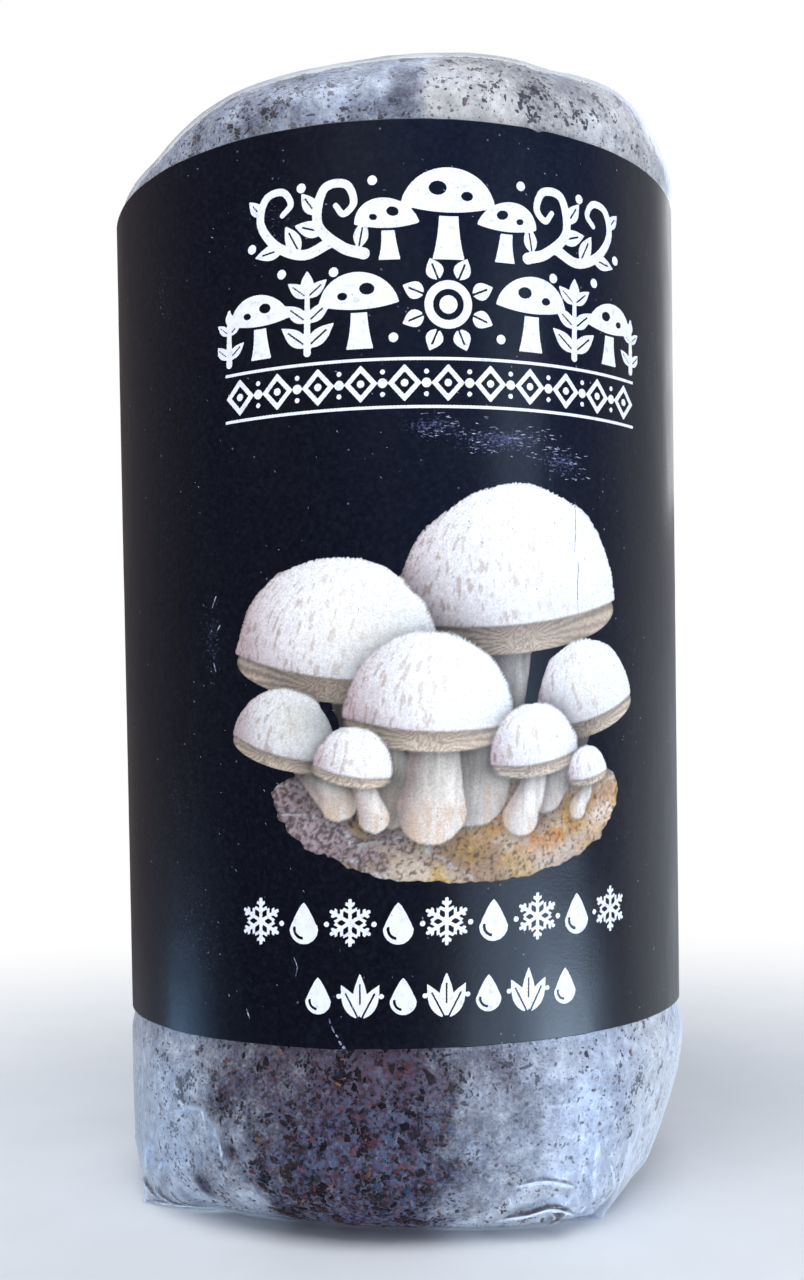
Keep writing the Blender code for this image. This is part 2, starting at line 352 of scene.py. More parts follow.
class Nodes:
    """Short ways to add shader nodes to one tree. Every input takes a socket or a plain value."""

    def __init__(self, tree):
        self.tree = tree

    def put(self, socket, value):
        if isinstance(value, bpy.types.NodeSocket):
            self.tree.links.new(value, socket)
        elif isinstance(value, tuple) and len(value) == 3 and socket.type == "RGBA":
            socket.default_value = (*value, 1.0)
        else:
            socket.default_value = value

    def fill(self, node, inputs):
        """Sets a node's inputs, each found by its name or its number."""
        for key, value in inputs.items():
            self.put(node.inputs[key], value)

    def made(self, kind, inputs=None, output=0, **settings):
        """One output of a new node."""
        node = self.tree.nodes.new("ShaderNode" + kind)
        for name, value in settings.items():
            setattr(node, name, value)
        self.fill(node, inputs or {})
        return node.outputs[output]

    def place(self, stretch=(1.0, 1.0, 1.0)):
        """The point in the object's frame, in metres, stretched."""
        coordinates = self.made("TexCoord", output="Object")
        return self.made("Mapping", {"Vector": coordinates, "Scale": stretch})

    def attribute(self, name, output="Fac"):
        return self.made("Attribute", output=output, attribute_name=name)

    def noise(
        self, scale, detail=3.0, roughness=0.55, stretch=(1.0, 1.0, 1.0), distortion=0.0, output="Fac",
    ):
        """Cloudy noise of about 0 to 1 with this many waves to a metre."""
        inputs = {"Scale": scale, "Detail": detail, "Roughness": roughness, "Distortion": distortion}
        return self.made("TexNoise", {"Vector": self.place(stretch), **inputs}, output)

    def cells(self, scale, output="Distance", vector=None, feature="F1"):
        inputs = {"Vector": vector or self.place(), "Scale": scale}
        return self.made("TexVoronoi", inputs, output, feature=feature)

    def maths(self, operation, *values, clamp=False):
        return self.made("Math", dict(enumerate(values)), operation=operation, use_clamp=clamp)

    def times(self, value, *others):
        for other in others:
            value = self.maths("MULTIPLY", value, other)
        return value

    def channel(self, colour, name):
        return self.made("SeparateColor", {"Color": colour}, name)

    def axis(self, vector, name):
        return self.made("SeparateXYZ", {"Vector": vector}, name)

    def scaled(self, colour, share):
        return self.made("VectorMath", {0: colour, "Scale": share}, operation="SCALE")

    def spread(self, value, low, high, to_low=0.0, to_high=1.0):
        """Maps a range of values smoothly onto another, held at both ends."""
        inputs = {"Value": value, "From Min": low, "From Max": high, "To Min": to_low, "To Max": to_high}
        return self.made("MapRange", inputs, "Result", interpolation_type="SMOOTHSTEP")

    def mix(self, share, first, second):
        return self.made("Mix", {"Factor": share, 6: first, 7: second}, 2, data_type="RGBA")

    def ramp(self, value, stops, blend="LINEAR"):
        """A colour picked by the value from stops of (place, colour)."""
        colour = self.made("ValToRGB", {"Fac": value}, "Color")
        colour_ramp = colour.node.color_ramp
        colour_ramp.interpolation = blend
        while len(colour_ramp.elements) < len(stops):
            colour_ramp.elements.new(0.5)
        for element, (place, stop) in zip(colour_ramp.elements, stops):
            element.position = place
            element.color = (*stop, 1.0)
        return colour

    def bump(self, height, distance, strength, under=None):
        """A normal raised by the height, over another bump or none."""
        inputs = {"Height": height, "Distance": distance, "Strength": strength}
        return self.made("Bump", {**inputs, "Normal": under} if under else inputs)

    def surface(self, share, first, second):
        """Shows two shaders mixed, with this share of the second."""
        mixed = self.made("MixShader", {0: share, 1: first, 2: second})
        self.put(self.tree.nodes["Material Output"].inputs["Surface"], mixed)


# Materials


# Colours by place along a ramp, and single ones
SAWDUST = (
    (0.0, (0.006, 0.004, 0.009)),
    (0.20, (0.032, 0.016, 0.036)),
    (0.31, (0.088, 0.036, 0.060)),
    (0.43, (0.036, 0.066, 0.132)),
    (0.57, (0.108, 0.082, 0.140)),
    (0.71, (0.056, 0.106, 0.176)),
    (0.85, (0.175, 0.158, 0.215)),
)
RUST = (0.135, 0.042, 0.040)
BARK = (0.0085, 0.0012, 0.0040)
MAROON = (0.100, 0.054, 0.074)
BROWN = (0.066, 0.048, 0.044)
DAMP = ((0.25, (0.018, 0.018, 0.042)), (0.5, (0.048, 0.050, 0.092)), (0.75, (0.098, 0.090, 0.125)))
MYCELIUM_COOL = ((0.3, (0.26, 0.28, 0.38)), (0.5, (0.46, 0.50, 0.60)), (0.70, (0.76, 0.80, 0.86)))
MYCELIUM_WARM = ((0.3, (0.42, 0.39, 0.38)), (0.5, (0.66, 0.61, 0.57)), (0.70, (0.91, 0.86, 0.80)))
SPECKS = ((0.0, (0.018, 0.014, 0.020)), (0.45, (0.060, 0.052, 0.060)), (0.8, (0.105, 0.052, 0.050)))
# The dark specks in the mycelium: cells to a metre, a speck's reach in its cell, share of cells without one
SPECK_LAYERS = ((800.0, 0.42, 0.77), (1700.0, 0.38, 0.70))
LABEL_INK = (
    (0.35, (0.0020, 0.0022, 0.0050)), (0.5, (0.0034, 0.0038, 0.0078)), (0.68, (0.0068, 0.0076, 0.0140)),
)
SCUFFS = ((0.4, (0.045, 0.040, 0.110)), (0.65, (0.110, 0.120, 0.220)), (0.85, (0.420, 0.440, 0.560)))
DUST = (0.30, 0.33, 0.38)
WHITE_INK = ((0.28, (0.60, 0.58, 0.66)), (0.42, (0.86, 0.84, 0.90)), (0.7, (0.97, 0.96, 0.98)))
RUBBED = ((0.3, (0.030, 0.028, 0.070)), (0.48, (0.150, 0.155, 0.260)), (0.66, (0.600, 0.620, 0.700)))
# The painted folds' colours: painted highlight at the low end, painted shade at the high end
FOLD_SHADE_AND_HIGHLIGHT = (
    (0.0, (0.70, 0.76, 0.86)), (0.42, (0.80, 0.86, 0.95)), (0.56, (0.080, 0.060, 0.075)),
    (0.78, (0.022, 0.016, 0.022)), (1.0, (0.060, 0.055, 0.080)),
)
FILM_WHITE = (0.95, 0.97, 1.0)
FLEECE = ((0.3, (0.62, 0.64, 0.66)), (0.7, (0.88, 0.88, 0.87)))
FLOOR = ((0.3, (0.80, 0.79, 0.77)), (0.7, (0.84, 0.83, 0.81)))
FILM_IOR = 1.47


def mycelium_material():
    """White threads over brown sawdust. The cover attribute says how thickly, and the cream one how warm."""
    material, nodes, shader = new_material("mycelium")
    cover, cream = nodes.attribute("cover"), nodes.attribute("cream")
    wander = nodes.noise(1500.0, 2.0, output="Color")
    warp = {0: wander, 1: (0.0006, 0.0006, 0.0006), 2: nodes.place()}
    warped = nodes.made("VectorMath", warp, operation="MULTIPLY_ADD")

    patches = nodes.maths("SUBTRACT", nodes.noise(170.0, 4.0, 0.6), 0.5)
    threads = nodes.maths("SUBTRACT", nodes.noise(1100.0, 4.0, 0.75), 0.5)
    grown = nodes.maths("ADD", nodes.maths("MULTIPLY_ADD", patches, 0.75, cover), threads)
    share = nodes.spread(grown, 0.06, 0.92)

    chips = nodes.cells(1400.0, "Color", vector=warped)
    clumped = nodes.spread(nodes.noise(300.0, 4.0, 0.7), 0.34, 0.66, -0.12, 0.42)
    tone = nodes.maths("MULTIPLY_ADD", nodes.channel(chips, "Red"), 0.62, clumped)
    rusty = nodes.maths("GREATER_THAN", nodes.channel(chips, "Green"), 0.955)
    ground = nodes.mix(rusty, nodes.ramp(tone, SAWDUST, "CONSTANT"), RUST)
    fine = nodes.noise(420.0, 4.0, 0.7)
    ground = nodes.mix(0.14, ground, nodes.ramp(fine, DAMP))
    height = nodes.axis(nodes.place(), "Z")
    low = nodes.maths("LESS_THAN", height, FOOT_SHOWS_BELOW)
    ground = nodes.mix(nodes.times(nodes.spread(height, 0.022, 0.040, 0.0, 0.55), low), ground, MAROON)
    ground = nodes.mix(nodes.times(cream, 0.6), ground, BROWN)
    crowd = nodes.spread(nodes.noise(150.0), 0.36, 0.64, -0.065, 0.050)
    clump = nodes.maths("ADD", nodes.noise(680.0, 3.0, 0.70), crowd)
    ground = nodes.mix(nodes.spread(clump, 0.55, 0.61, 0.0, 0.95), ground, BARK)

    tint = nodes.noise(330.0, 5.0, 0.7)
    grown_over = nodes.mix(cream, nodes.ramp(tint, MYCELIUM_COOL), nodes.ramp(tint, MYCELIUM_WARM))
    skin = nodes.mix(share, ground, grown_over)
    smudge = nodes.maths("MULTIPLY_ADD", cover, -0.10, fine)
    skin = nodes.mix(nodes.spread(smudge, 0.48, 0.64, 0.0, 0.50), skin, ground)
    for scale, size, bare in SPECK_LAYERS:
        own = nodes.cells(scale, "Color", vector=warped)
        near = nodes.spread(nodes.cells(scale, vector=warped), size, size * 0.45)
        there = nodes.maths("GREATER_THAN", nodes.channel(own, "Green"), bare)
        dark = nodes.ramp(nodes.channel(own, "Blue"), SPECKS)
        skin = nodes.mix(nodes.times(near, there, 0.82), skin, dark)
    raised = nodes.maths("MULTIPLY_ADD", threads, 0.6, share)
    nodes.fill(shader, {
        "Base Color": skin,
        "Roughness": nodes.spread(threads, -0.2, 0.2, 0.62, 0.88),
        "Normal": nodes.bump(raised, 0.00035, 0.7),
        "Specular IOR Level": 0.25,
    })
    return material


def fleck_material():
    """Bits of bark and wood, whose colour is each one's own."""
    material, nodes, shader = new_material("wood_fleck")
    grain = nodes.spread(nodes.noise(2600.0), 0.3, 0.7, 0.55, 1.25)
    nodes.fill(shader, {
        "Base Color": nodes.scaled(nodes.attribute("own_colour", "Color"), grain),
        "Roughness": nodes.spread(nodes.noise(900.0), 0.3, 0.7, 0.6, 0.9),
        "Normal": nodes.bump(nodes.noise(3000.0), 0.00008, 0.6),
        "Specular IOR Level": 0.12,
    })
    return material


def clear_film(name, haze, dust, tint, rough):
    """Thin clear plastic: gloss on a see-through sheet, with a haze that varies over it.

    It shows less where the wetness attribute says that it clings to the damp block.
    """
    material, nodes, shader = new_material(name)
    waves = nodes.bump(nodes.noise(130.0), 0.0011, 0.55)
    normal = nodes.bump(nodes.noise(620.0, 4.0, 0.6, stretch=(1.0, 1.0, 0.6)), 0.00022, 0.55, waves)
    veil = nodes.spread(nodes.noise(45.0, 4.0), 0.35, 0.7, haze * 0.35, haze * 1.8)
    specks = nodes.spread(nodes.noise(1900.0, 2.0, 0.7), 0.64, 0.74, 0.0, dust)
    creased = nodes.times(nodes.attribute("creased"), 0.35)
    cloud = nodes.maths("ADD", nodes.maths("ADD", veil, specks), creased)
    # The film's gloss is made weaker where it faces down and stronger where it faces up, which paints shade
    # on its underside
    upward = nodes.axis(nodes.made("NewGeometry", output="Normal"), "Z")
    fresnel = nodes.made("Fresnel", {"IOR": FILM_IOR, "Normal": normal})
    gloss = nodes.times(fresnel, nodes.spread(upward, -0.75, -0.10, 0.25, 1.55))
    seen = nodes.maths("ADD", cloud, gloss, clamp=True)
    outside = nodes.maths("SUBTRACT", 1.0, nodes.made("NewGeometry", output="Backfacing"))
    loose = nodes.spread(nodes.attribute("wetness"), 0.0, 1.0, 1.0, 0.16)
    nodes.fill(shader, {
        "Base Color": nodes.ramp(nodes.noise(70.0), ((0.3, tint), (0.7, FILM_WHITE))),
        "Roughness": nodes.spread(nodes.noise(90.0), 0.3, 0.7, *rough),
        "Normal": normal,
        "Metallic": 0.62,
    })
    nodes.surface(nodes.times(seen, outside, loose), nodes.made("BsdfTransparent"), shader.outputs[0])
    return material


def painted_fold_material():
    """The film where it is folded sharply, with painted shade on the fold's far side and a painted milky
    highlight on its near side.
    """
    material, nodes, shader = new_material("folded_film_painted_shade")
    mottle = nodes.noise(900.0, 3.0, 0.7)
    nodes.put(shader.inputs["Base Color"], nodes.ramp(nodes.attribute("tone"), FOLD_SHADE_AND_HIGHLIGHT))
    nodes.put(shader.inputs["Roughness"], nodes.spread(mottle, 0.3, 0.7, 0.18, 0.34))
    shown = nodes.times(nodes.attribute("strength"), nodes.spread(mottle, 0.30, 0.60, 0.45, 1.0))
    nodes.surface(shown, nodes.made("BsdfTransparent"), shader.outputs[0])
    return material


def coat(nodes, shader, colour, rough):
    """A colour under the print's clear gloss, with a soft grain in its shine."""
    soft = nodes.noise(60.0, stretch=(1.0, 1.0, 0.3))
    grain = nodes.noise(1400.0, 3.0, 0.6)
    nodes.fill(shader, {
        "Base Color": colour,
        "Roughness": nodes.spread(soft, 0.3, 0.7, rough * 0.85, rough * 1.2),
        "Normal": nodes.bump(grain, 0.00006, 0.35, nodes.bump(soft, 0.0007, 0.25)),
        "Specular IOR Level": 0.5,
    })


def label_material():
    """Near-black gloss print with dust, scuffed where the wear attribute says."""
    material, nodes, shader = new_material("label_gloss")
    wear = nodes.attribute("wear")
    fine = nodes.noise(1500.0, 3.0, 0.75, stretch=(1.0, 1.0, 1.6))
    bitten = nodes.spread(nodes.maths("MULTIPLY_ADD", wear, 0.30, fine), 0.70, 0.84)
    scuffed = nodes.times(bitten, nodes.spread(wear, 0.0, 0.25), 0.75)
    ink = nodes.ramp(nodes.noise(900.0, 4.0, 0.7), LABEL_INK)
    worn = nodes.mix(scuffed, ink, nodes.ramp(fine, SCUFFS))
    near = nodes.spread(nodes.cells(420.0), 0.12, 0.05)
    there = nodes.maths("GREATER_THAN", nodes.channel(nodes.cells(420.0, "Color"), "Red"), 0.86)
    coat(nodes, shader, nodes.mix(nodes.times(near, there, 0.35), worn, DUST), 0.27)
    return material


def ink_material():
    """The white print, a little mottled."""
    material, nodes, shader = new_material("white_print")
    coat(nodes, shader, nodes.ramp(nodes.noise(700.0, 4.0, 0.7), WHITE_INK), 0.30)
    return material


def picture_material():
    """The printed picture, whose colours are painted on its points, with the print's own fine grain."""
    material, nodes, shader = new_material("printed_picture")
    grain = nodes.spread(nodes.noise(2400.0, 2.0), 0.3, 0.7, 0.86, 1.12)
    coat(nodes, shader, nodes.scaled(nodes.attribute("print_colour", "Color"), grain), 0.30)
    return material


def scuff_material():
    """Rubbed gloss that shows pale blue."""
    material, nodes, shader = new_material("rubbed_gloss")
    mottle = nodes.noise(1100.0, 3.0, 0.7)
    nodes.put(shader.inputs["Base Color"], nodes.ramp(mottle, RUBBED))
    nodes.put(shader.inputs["Roughness"], nodes.spread(mottle, 0.3, 0.7, 0.4, 0.7))
    return material


def fleece_material():
    """White spun fibres that let light through, pressed flat and smooth in the sealed border."""
    material, nodes, shader = new_material("filter_fleece")
    fibres = nodes.noise(2600.0, 4.0, 0.75, stretch=(1.0, 0.35, 1.0), distortion=0.8)
    pores = nodes.times(nodes.cells(2200.0, feature="SMOOTH_F1"), 0.5)
    white = nodes.ramp(fibres, FLEECE)
    nodes.fill(shader, {
        "Base Color": white,
        "Roughness": nodes.spread(nodes.attribute("sealed"), 0.0, 1.0, 0.85, 0.40),
        "Normal": nodes.bump(nodes.maths("ADD", fibres, pores), 0.00018, 0.6),
    })
    nodes.surface(0.5, shader.outputs[0], nodes.made("BsdfTranslucent", {"Color": white}))
    return material


def floor_material():
    """A pale studio table that fades into the white backdrop."""
    material, nodes, shader = new_material("floor")
    nodes.put(shader.inputs["Base Color"], nodes.ramp(nodes.noise(30.0, 4.0), FLOOR))
    nodes.put(shader.inputs["Roughness"], 0.9)
    away = nodes.made("VectorMath", {0: nodes.place()}, "Value", operation="LENGTH")
    nodes.surface(nodes.spread(away, 0.12, 0.42), shader.outputs[0], nodes.made("Emission"))
    return material


# The block


# How far the growth stops short of the bag's corners
EAR_INSET = 0.0016
# The rings of each zone of the form, and the share of the small lumps and pits that each zone shows
BLOCK_ZONES = (("base", 6), ("foot", 16), ("low", 34), ("held", 5), ("shoulder", 34), ("crown", 14))
PITTED = {"base": 0.0, "foot": 1.0, "low": 1.0, "held": 0.0, "shoulder": 1.0, "crown": 1.0}
PIT_DEPTH = 0.0006
PIT_RISE = 0.00012
# How thickly the mycelium grows, from 0 to 1, by heading: on the foot and on the top
LOW_COVER = {
    -170: 0.66, -140: 0.42, -110: 0.62, -75: 0.81, -50: 0.76, -42: 0.67, -35: 0.45, -22: 0.22, -10: 0.02,
    -1: 0.0, 7: 0.26, 10: 0.41, 15: 0.38, 22: 0.48, 29: 0.76, 37: 0.96, 60: 0.92, 100: 0.62, 150: 0.78,
}
TOP_COVER = {
    -160: 0.58, -90: 0.50, -55: 0.62, -27: 0.58, -17: 0.54, -9: 0.60, 0: 0.49, 8: 0.82, 18: 0.74, 27: 0.60,
    38: 0.66, 50: 0.70, 90: 0.60,
}
# Places (heading, height in mm, size in mm, cover added) that stand out in the mottling. The low ones at
# headings -52, -46.5, 14 and 29 are made paler to offset the shade near the floor, which is painted light.
PATCHES = (
    (-42.2, 9.0, 2.8, -0.75), (-29.9, 8.3, 2.4, 0.35), (-39.5, 21.0, 3.0, 0.25), (-33.5, 18.5, 2.0, -0.35),
    (-36.5, 27.5, 3.4, -0.40), (-27.0, 14.5, 3.0, -0.35), (10.5, 6.0, 3.0, -0.25), (-31.0, 34.0, 6.0, -0.25),
    (-32.5, 5.0, 4.5, 0.25), (-25.0, 6.0, 3.5, -0.28), (11.0, 32.0, 4.0, 0.16), (24.0, 8.0, 5.0, 0.20),
    (-46.5, 4.5, 4.0, 0.35), (14.0, 3.0, 6.0, 0.42), (29.0, 4.0, 8.0, 0.25), (-16.0, 24.0, 7.0, -0.12),
    (-52.0, 3.0, 5.0, 0.30), (28.0, 30.0, 5.0, -0.20), (7.5, 9.0, 3.5, 0.30), (44.0, 26.0, 9.0, -0.10),
    (10.0, 226.5, 4.0, 0.40), (19.0, 226.5, 4.0, 0.20), (-10.5, 227.5, 3.5, 0.42), (0.0, 236.0, 3.5, 0.14),
    (10.0, 237.0, 4.0, -0.20), (38.0, 238.0, 6.0, -0.35), (-14.0, 237.0, 6.0, -0.12),
    (24.2, 231.0, 2.6, -0.25), (2.5, 231.5, 3.0, -0.36), (-19.0, 231.5, 5.0, 0.04),
    (-26.0, 225.5, 4.5, -0.25), (40.0, 229.0, 5.0, 0.28), (50.0, 234.0, 5.0, 0.35),
    (18.0, 240.5, 6.0, -0.32), (-2.5, 231.0, 3.0, 0.22),
)


def rows_of(zones):
    """(zone, step) for each ring of a form, with the steps spaced evenly in each zone."""
    rows = []
    for zone, count in zones:
        first = 1.0 / count if zone in ("base", "crown") else 0.0
        rows += [(zone, step) for step in np.linspace(first, 1.0, count, endpoint=zone == "crown")]
    return rows


def cover_at(points):
    """How thickly the mycelium grows at each point of the block, from 0 to 1."""
    headings, heights = heading_of(points), points[:, 2]
    low = around(LOW_COVER, headings + 2.5 * noise_at(points, 0.010, 2))
    top = around(TOP_COVER, headings)
    cover = low + (top - low) * smooth_step((heights - FOOT_SHOWS_BELOW) / 0.05)
    for heading, height, size, more in PATCHES:
        away = away_from(headings, heights, heading, height) / (size * MM)
        cover += more * np.exp(-(away**2)) * (heights > BLOCK_BASE)
    return np.clip(cover + 0.16 * noise_at(points, 0.013, 3, seed=5.0), 0.0, 1.0)


def cream_at(points):
    """How warm the white is at each point: on the right, and on top from the middle to the right."""
    angles = heading_of(points) + 7.0 * noise_at(points, 0.012, 3, seed=13.0)
    right = smooth_step((angles - 38.0) / 26.0) * smooth_step((125.0 - angles) / 30.0)
    near = smooth_step((angles - 5.0) / 8.0) * smooth_step((42.0 - angles) / 16.0)
    high = smooth_step((points[:, 2] - TOP_SHOWS_ABOVE) / 0.02) * smooth_step((angles - 1.0) / 8.0)
    outer = smooth_step((np.hypot(points[:, 0], points[:, 1]) - 0.018) / 0.03) * (angles < 125.0)
    return np.clip(0.75 * (right + 0.35 * near) + 0.80 * high * outer, 0.0, 1.0)


def add_block(headings):
    """The block's skin, with small lumps and pits. Returns its grid of points, their cover and normals."""
    rows = rows_of(BLOCK_ZONES)[:-1]
    grid = [eared(headings, zone, step, form_row(headings, zone, step), EAR_INSET) for zone, step in rows]
    grid = np.array(grid)
    flat = grid.reshape(-1, 3)
    fade = np.pad([PITTED[zone] for zone, step in rows], 2, mode="edge")
    fade = smooth_step(np.convolve(fade, np.full(5, 0.2), mode="valid"))
    pits = -0.00016 + 0.00022 * noise_at(flat, 0.0055, 3) + 0.00010 * noise_at(flat, 0.0016, 2, seed=3.0)
    pits = np.clip(pits, -PIT_DEPTH, PIT_RISE).reshape(grid.shape[:2]) * fade[:, None]
    across = np.roll(grid, -1, axis=1) - np.roll(grid, 1, axis=1)
    normals = np.cross(across, np.gradient(grid, axis=0))
    normals /= np.maximum(np.linalg.norm(normals, axis=-1, keepdims=True), 1e-12)
    grid = grid + normals * pits[..., None]
    grid[..., 2] = np.maximum(grid[..., 2], BLOCK_BASE)

    count, columns = grid.shape[:2]
    middles = np.array([(0.0, 0.0, BLOCK_BASE), (0.0, 0.0, BLOCK_TOP + CROWN)])
    points = np.concatenate([grid.reshape(-1, 3), middles])
    faces = grid_faces(count, columns, closed=True)
    faces += ring_fan(list(range(columns)), count * columns, outward=False)
    faces += ring_fan(list(range((count - 1) * columns, count * columns)), count * columns + 1)
    block = new_object("mycelium_block", points, faces, [mycelium_material()])
    cover = cover_at(points)
    give(block, "cover", cover)
    give(block, "cream", cream_at(points))
    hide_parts("substrate_block")
    return grid, cover[:-2].reshape(count, columns), normals


# Flecks


FLECK_COUNT = 12500
FLECK_CORNERS = 5
# The most that half a fleck's length comes to, before the larger ones are grown and its corners vary
FLECK_HALF = 0.0011
# Shares of the flecks and their colours, and what growth over a fleck adds to its colour
FLECK_COLOURS = (
    (0.56, (0.007, 0.002, 0.004)), (0.20, (0.022, 0.009, 0.016)), (0.12, (0.050, 0.020, 0.026)),
    (0.04, (0.100, 0.020, 0.028)), (0.02, (0.190, 0.090, 0.060)), (0.06, (0.022, 0.036, 0.075)),
)
GROWN_OVER = (0.120, 0.105, 0.112)
# Places (heading, height in mm, size in mm) where the flecks crowd together
CLUSTERS = (
    (14.0, 234.0, 5.0), (27.0, 230.0, 6.0), (-28.0, 230.0, 5.0), (4.0, 232.0, 3.5), (-18.0, 231.0, 4.0),
    (38.0, 227.0, 5.0), (9.0, 228.5, 3.0), (-40.0, 227.0, 4.0), (-6.0, 12.0, 5.0), (4.0, 22.0, 4.0),
    (-14.0, 7.0, 4.0), (-20.0, 13.0, 4.0), (6.0, 34.0, 4.0), (-10.0, 36.0, 4.0), (2.0, 4.0, 4.0),
    (44.0, 33.0, 4.0), (-33.0, 26.0, 3.5), (20.0, 37.0, 4.0), (-57.0, 34.0, 8.0), (-49.0, 30.0, 6.0),
    (52.0, 34.0, 9.0), (61.0, 24.0, 8.0), (46.0, 22.0, 6.0), (-26.0, 5.0, 4.0), (-28.0, 15.0, 3.0),
    (-52.0, 15.0, 6.0), (-44.0, 33.0, 5.0),
)
# Slivers that show: heading, height in mm, turn in degrees from level, length and width in mm, colour
SLIVERS = (
    (-55.6, 14.4, -58, 2.6, 0.75, 0), (-26.6, 225.2, 38, 3.4, 0.55, 0), (-6.1, 231.3, 42, 2.4, 0.5, 1),
    (-14.4, 226.0, 6, 2.8, 0.5, 1), (4.2, 230.7, 10, 1.2, 0.8, 3), (26.6, 228.0, -15, 1.3, 0.9, 3),
    (22.8, 226.1, -40, 1.6, 0.7, 3), (21.2, 36.2, 14, 5.0, 0.8, 5), (35.2, 29.3, 0, 2.4, 0.9, 2),
    (32.1, 24.4, 84, 2.8, 0.6, 1), (27.5, 19.4, 75, 2.0, 1.2, 4), (-26.8, 13.3, -25, 3.0, 0.8, 0),
    (-28.4, 14.6, -35, 2.6, 1.4, 3), (3.6, 14.2, 0, 2.6, 0.9, 3), (-33.0, 18.4, -10, 2.2, 1.6, 0),
    (-41.0, 26.8, -12, 2.2, 0.8, 0), (-37.0, 29.0, 5, 1.8, 1.2, 0), (-33.6, 28.0, -45, 2.0, 1.1, 0),
    (-36.0, 24.6, 80, 2.4, 1.1, 0), (-19.0, 20.0, -15, 2.4, 0.9, 3), (-12.0, 23.0, 30, 2.4, 1.0, 4),
    (-14.0, 12.5, 30, 3.0, 1.0, 4), (-5.0, 10.0, 5, 3.6, 1.3, 0), (8.0, 30.0, 15, 2.8, 0.8, 2),
    (-24.0, 34.0, 20, 2.0, 1.2, 3), (30.0, 32.0, 0, 3.0, 0.7, 1), (47.0, 24.0, 60, 1.8, 0.9, 0),
)


def add_flecks(grid, cover, normals):
    """Bits of bark and wood that lie on the block under the film, thickest where little has grown."""
    chance = np.random.default_rng(SEED)
    rows, columns = grid.shape[:2]
    angles, heights = heading_of(grid), grid[..., 2]
    on_top = heights > TOP_SHOWS_ABOVE
    clumps = noise_at(grid, 0.0036, 2, seed=29.0)
    bare = ((1.02 - cover) ** 1.2 + 0.16) * np.exp(3.8 * clumps) * np.where(on_top, 1.5, 1.0)
    shown = (heights < LABEL_BOTTOM + 0.002) | (heights > LABEL_TOP - 0.006)
    for heading, height, size in CLUSTERS:
        away = away_from(angles, heights, heading, height) / (size * MM)
        bare = bare * (1.0 + 2.6 * np.exp(-(away**2)))
    steps = np.linalg.norm(np.roll(grid, -1, axis=1) - grid, axis=-1)
    rises = np.minimum(np.linalg.norm(np.gradient(grid, axis=0), axis=-1), 0.002)
    weights = bare * shown * steps * rises * (heights > BLOCK_BASE + GAP)
    picked = chance.choice(rows * columns, FLECK_COUNT, p=(weights / weights.sum()).ravel())
    long = 0.00016 + 0.00024 * chance.exponential(1.0, FLECK_COUNT)
    larger = np.maximum(0.45 * smooth_step((0.5 - cover) / 0.3), 0.08 * on_top)
    long = np.minimum(long, FLECK_HALF) * (1.0 + larger.ravel()[picked])
    narrow = long * chance.uniform(0.25, 0.85, FLECK_COUNT)
    turn = chance.uniform(0.0, math.pi, FLECK_COUNT)
    shares = np.array([share for share, colour in FLECK_COLOURS])
    kind = chance.choice(len(FLECK_COLOURS), FLECK_COUNT, p=shares / shares.sum())
    for place, (heading, height, tilt, length, width, colour) in enumerate(SLIVERS):
        away = away_from(angles, heights, heading, height)
        picked[place] = np.argmin(away + (away > 0.01))
        long[place], narrow[place] = 0.5 * length * MM, 0.5 * width * MM
        turn[place] = math.radians(tilt)
        kind[place] = colour

    centres = grid.reshape(-1, 3)[picked]
    across = (np.roll(grid, -1, axis=1) - grid).reshape(-1, 3)[picked]
    across /= np.linalg.norm(across, axis=1, keepdims=True)
    up = normals.reshape(-1, 3)[picked]
    along = np.cross(up, across)
    centres = centres + across * chance.uniform(-0.0004, 0.0004, (FLECK_COUNT, 1))
    centres = centres + along * chance.uniform(-0.5, 0.5, (FLECK_COUNT, 1)) * rises.reshape(-1, 1)[picked]
    first = across * np.cos(turn)[:, None] + along * np.sin(turn)[:, None]
    second = np.cross(up, first)

    spokes = np.linspace(0.0, 2 * math.pi, FLECK_CORNERS, endpoint=False)
    spokes = spokes + chance.uniform(-0.3, 0.3, (FLECK_COUNT, FLECK_CORNERS))
    reach = chance.uniform(0.55, 1.15, (FLECK_COUNT, FLECK_CORNERS))
    sides = reach * np.cos(spokes) * long[:, None]
    ends = reach * np.sin(spokes) * narrow[:, None]
    outline = centres[:, None] + sides[..., None] * first[:, None] + ends[..., None] * second[:, None]
    thick = chance.uniform(0.00003, 0.00012, FLECK_COUNT)
    low = outline - up[:, None] * 0.00022
    high = centres[:, None] + (outline - centres[:, None]) * 0.86 + (up * thick[:, None])[:, None]
    points = np.concatenate([low, high], axis=1).reshape(-1, 3)
    faces = []
    for start in range(0, FLECK_COUNT * 2 * FLECK_CORNERS, 2 * FLECK_CORNERS):
        low_ring = list(range(start, start + FLECK_CORNERS))
        high_ring = [corner + FLECK_CORNERS for corner in low_ring]
        after = low_ring[1:] + low_ring[:1]
        faces += [(one, two, two + FLECK_CORNERS, one + FLECK_CORNERS) for one, two in zip(low_ring, after)]
        faces.append(tuple(high_ring))
    flecks = new_object("wood_flecks", points, faces, [fleck_material()])
    colours = np.array([colour for share, colour in FLECK_COLOURS])[kind]
    colours = colours * chance.uniform(0.6, 1.5, (FLECK_COUNT, 1))
    grown = cover.ravel()[picked] * chance.uniform(0.0, 1.0, FLECK_COUNT)
    colours = colours + grown[:, None] * np.array(GROWN_OVER)
    give(flecks, "own_colour", np.repeat(colours, 2 * FLECK_CORNERS, axis=0))


# The film bag


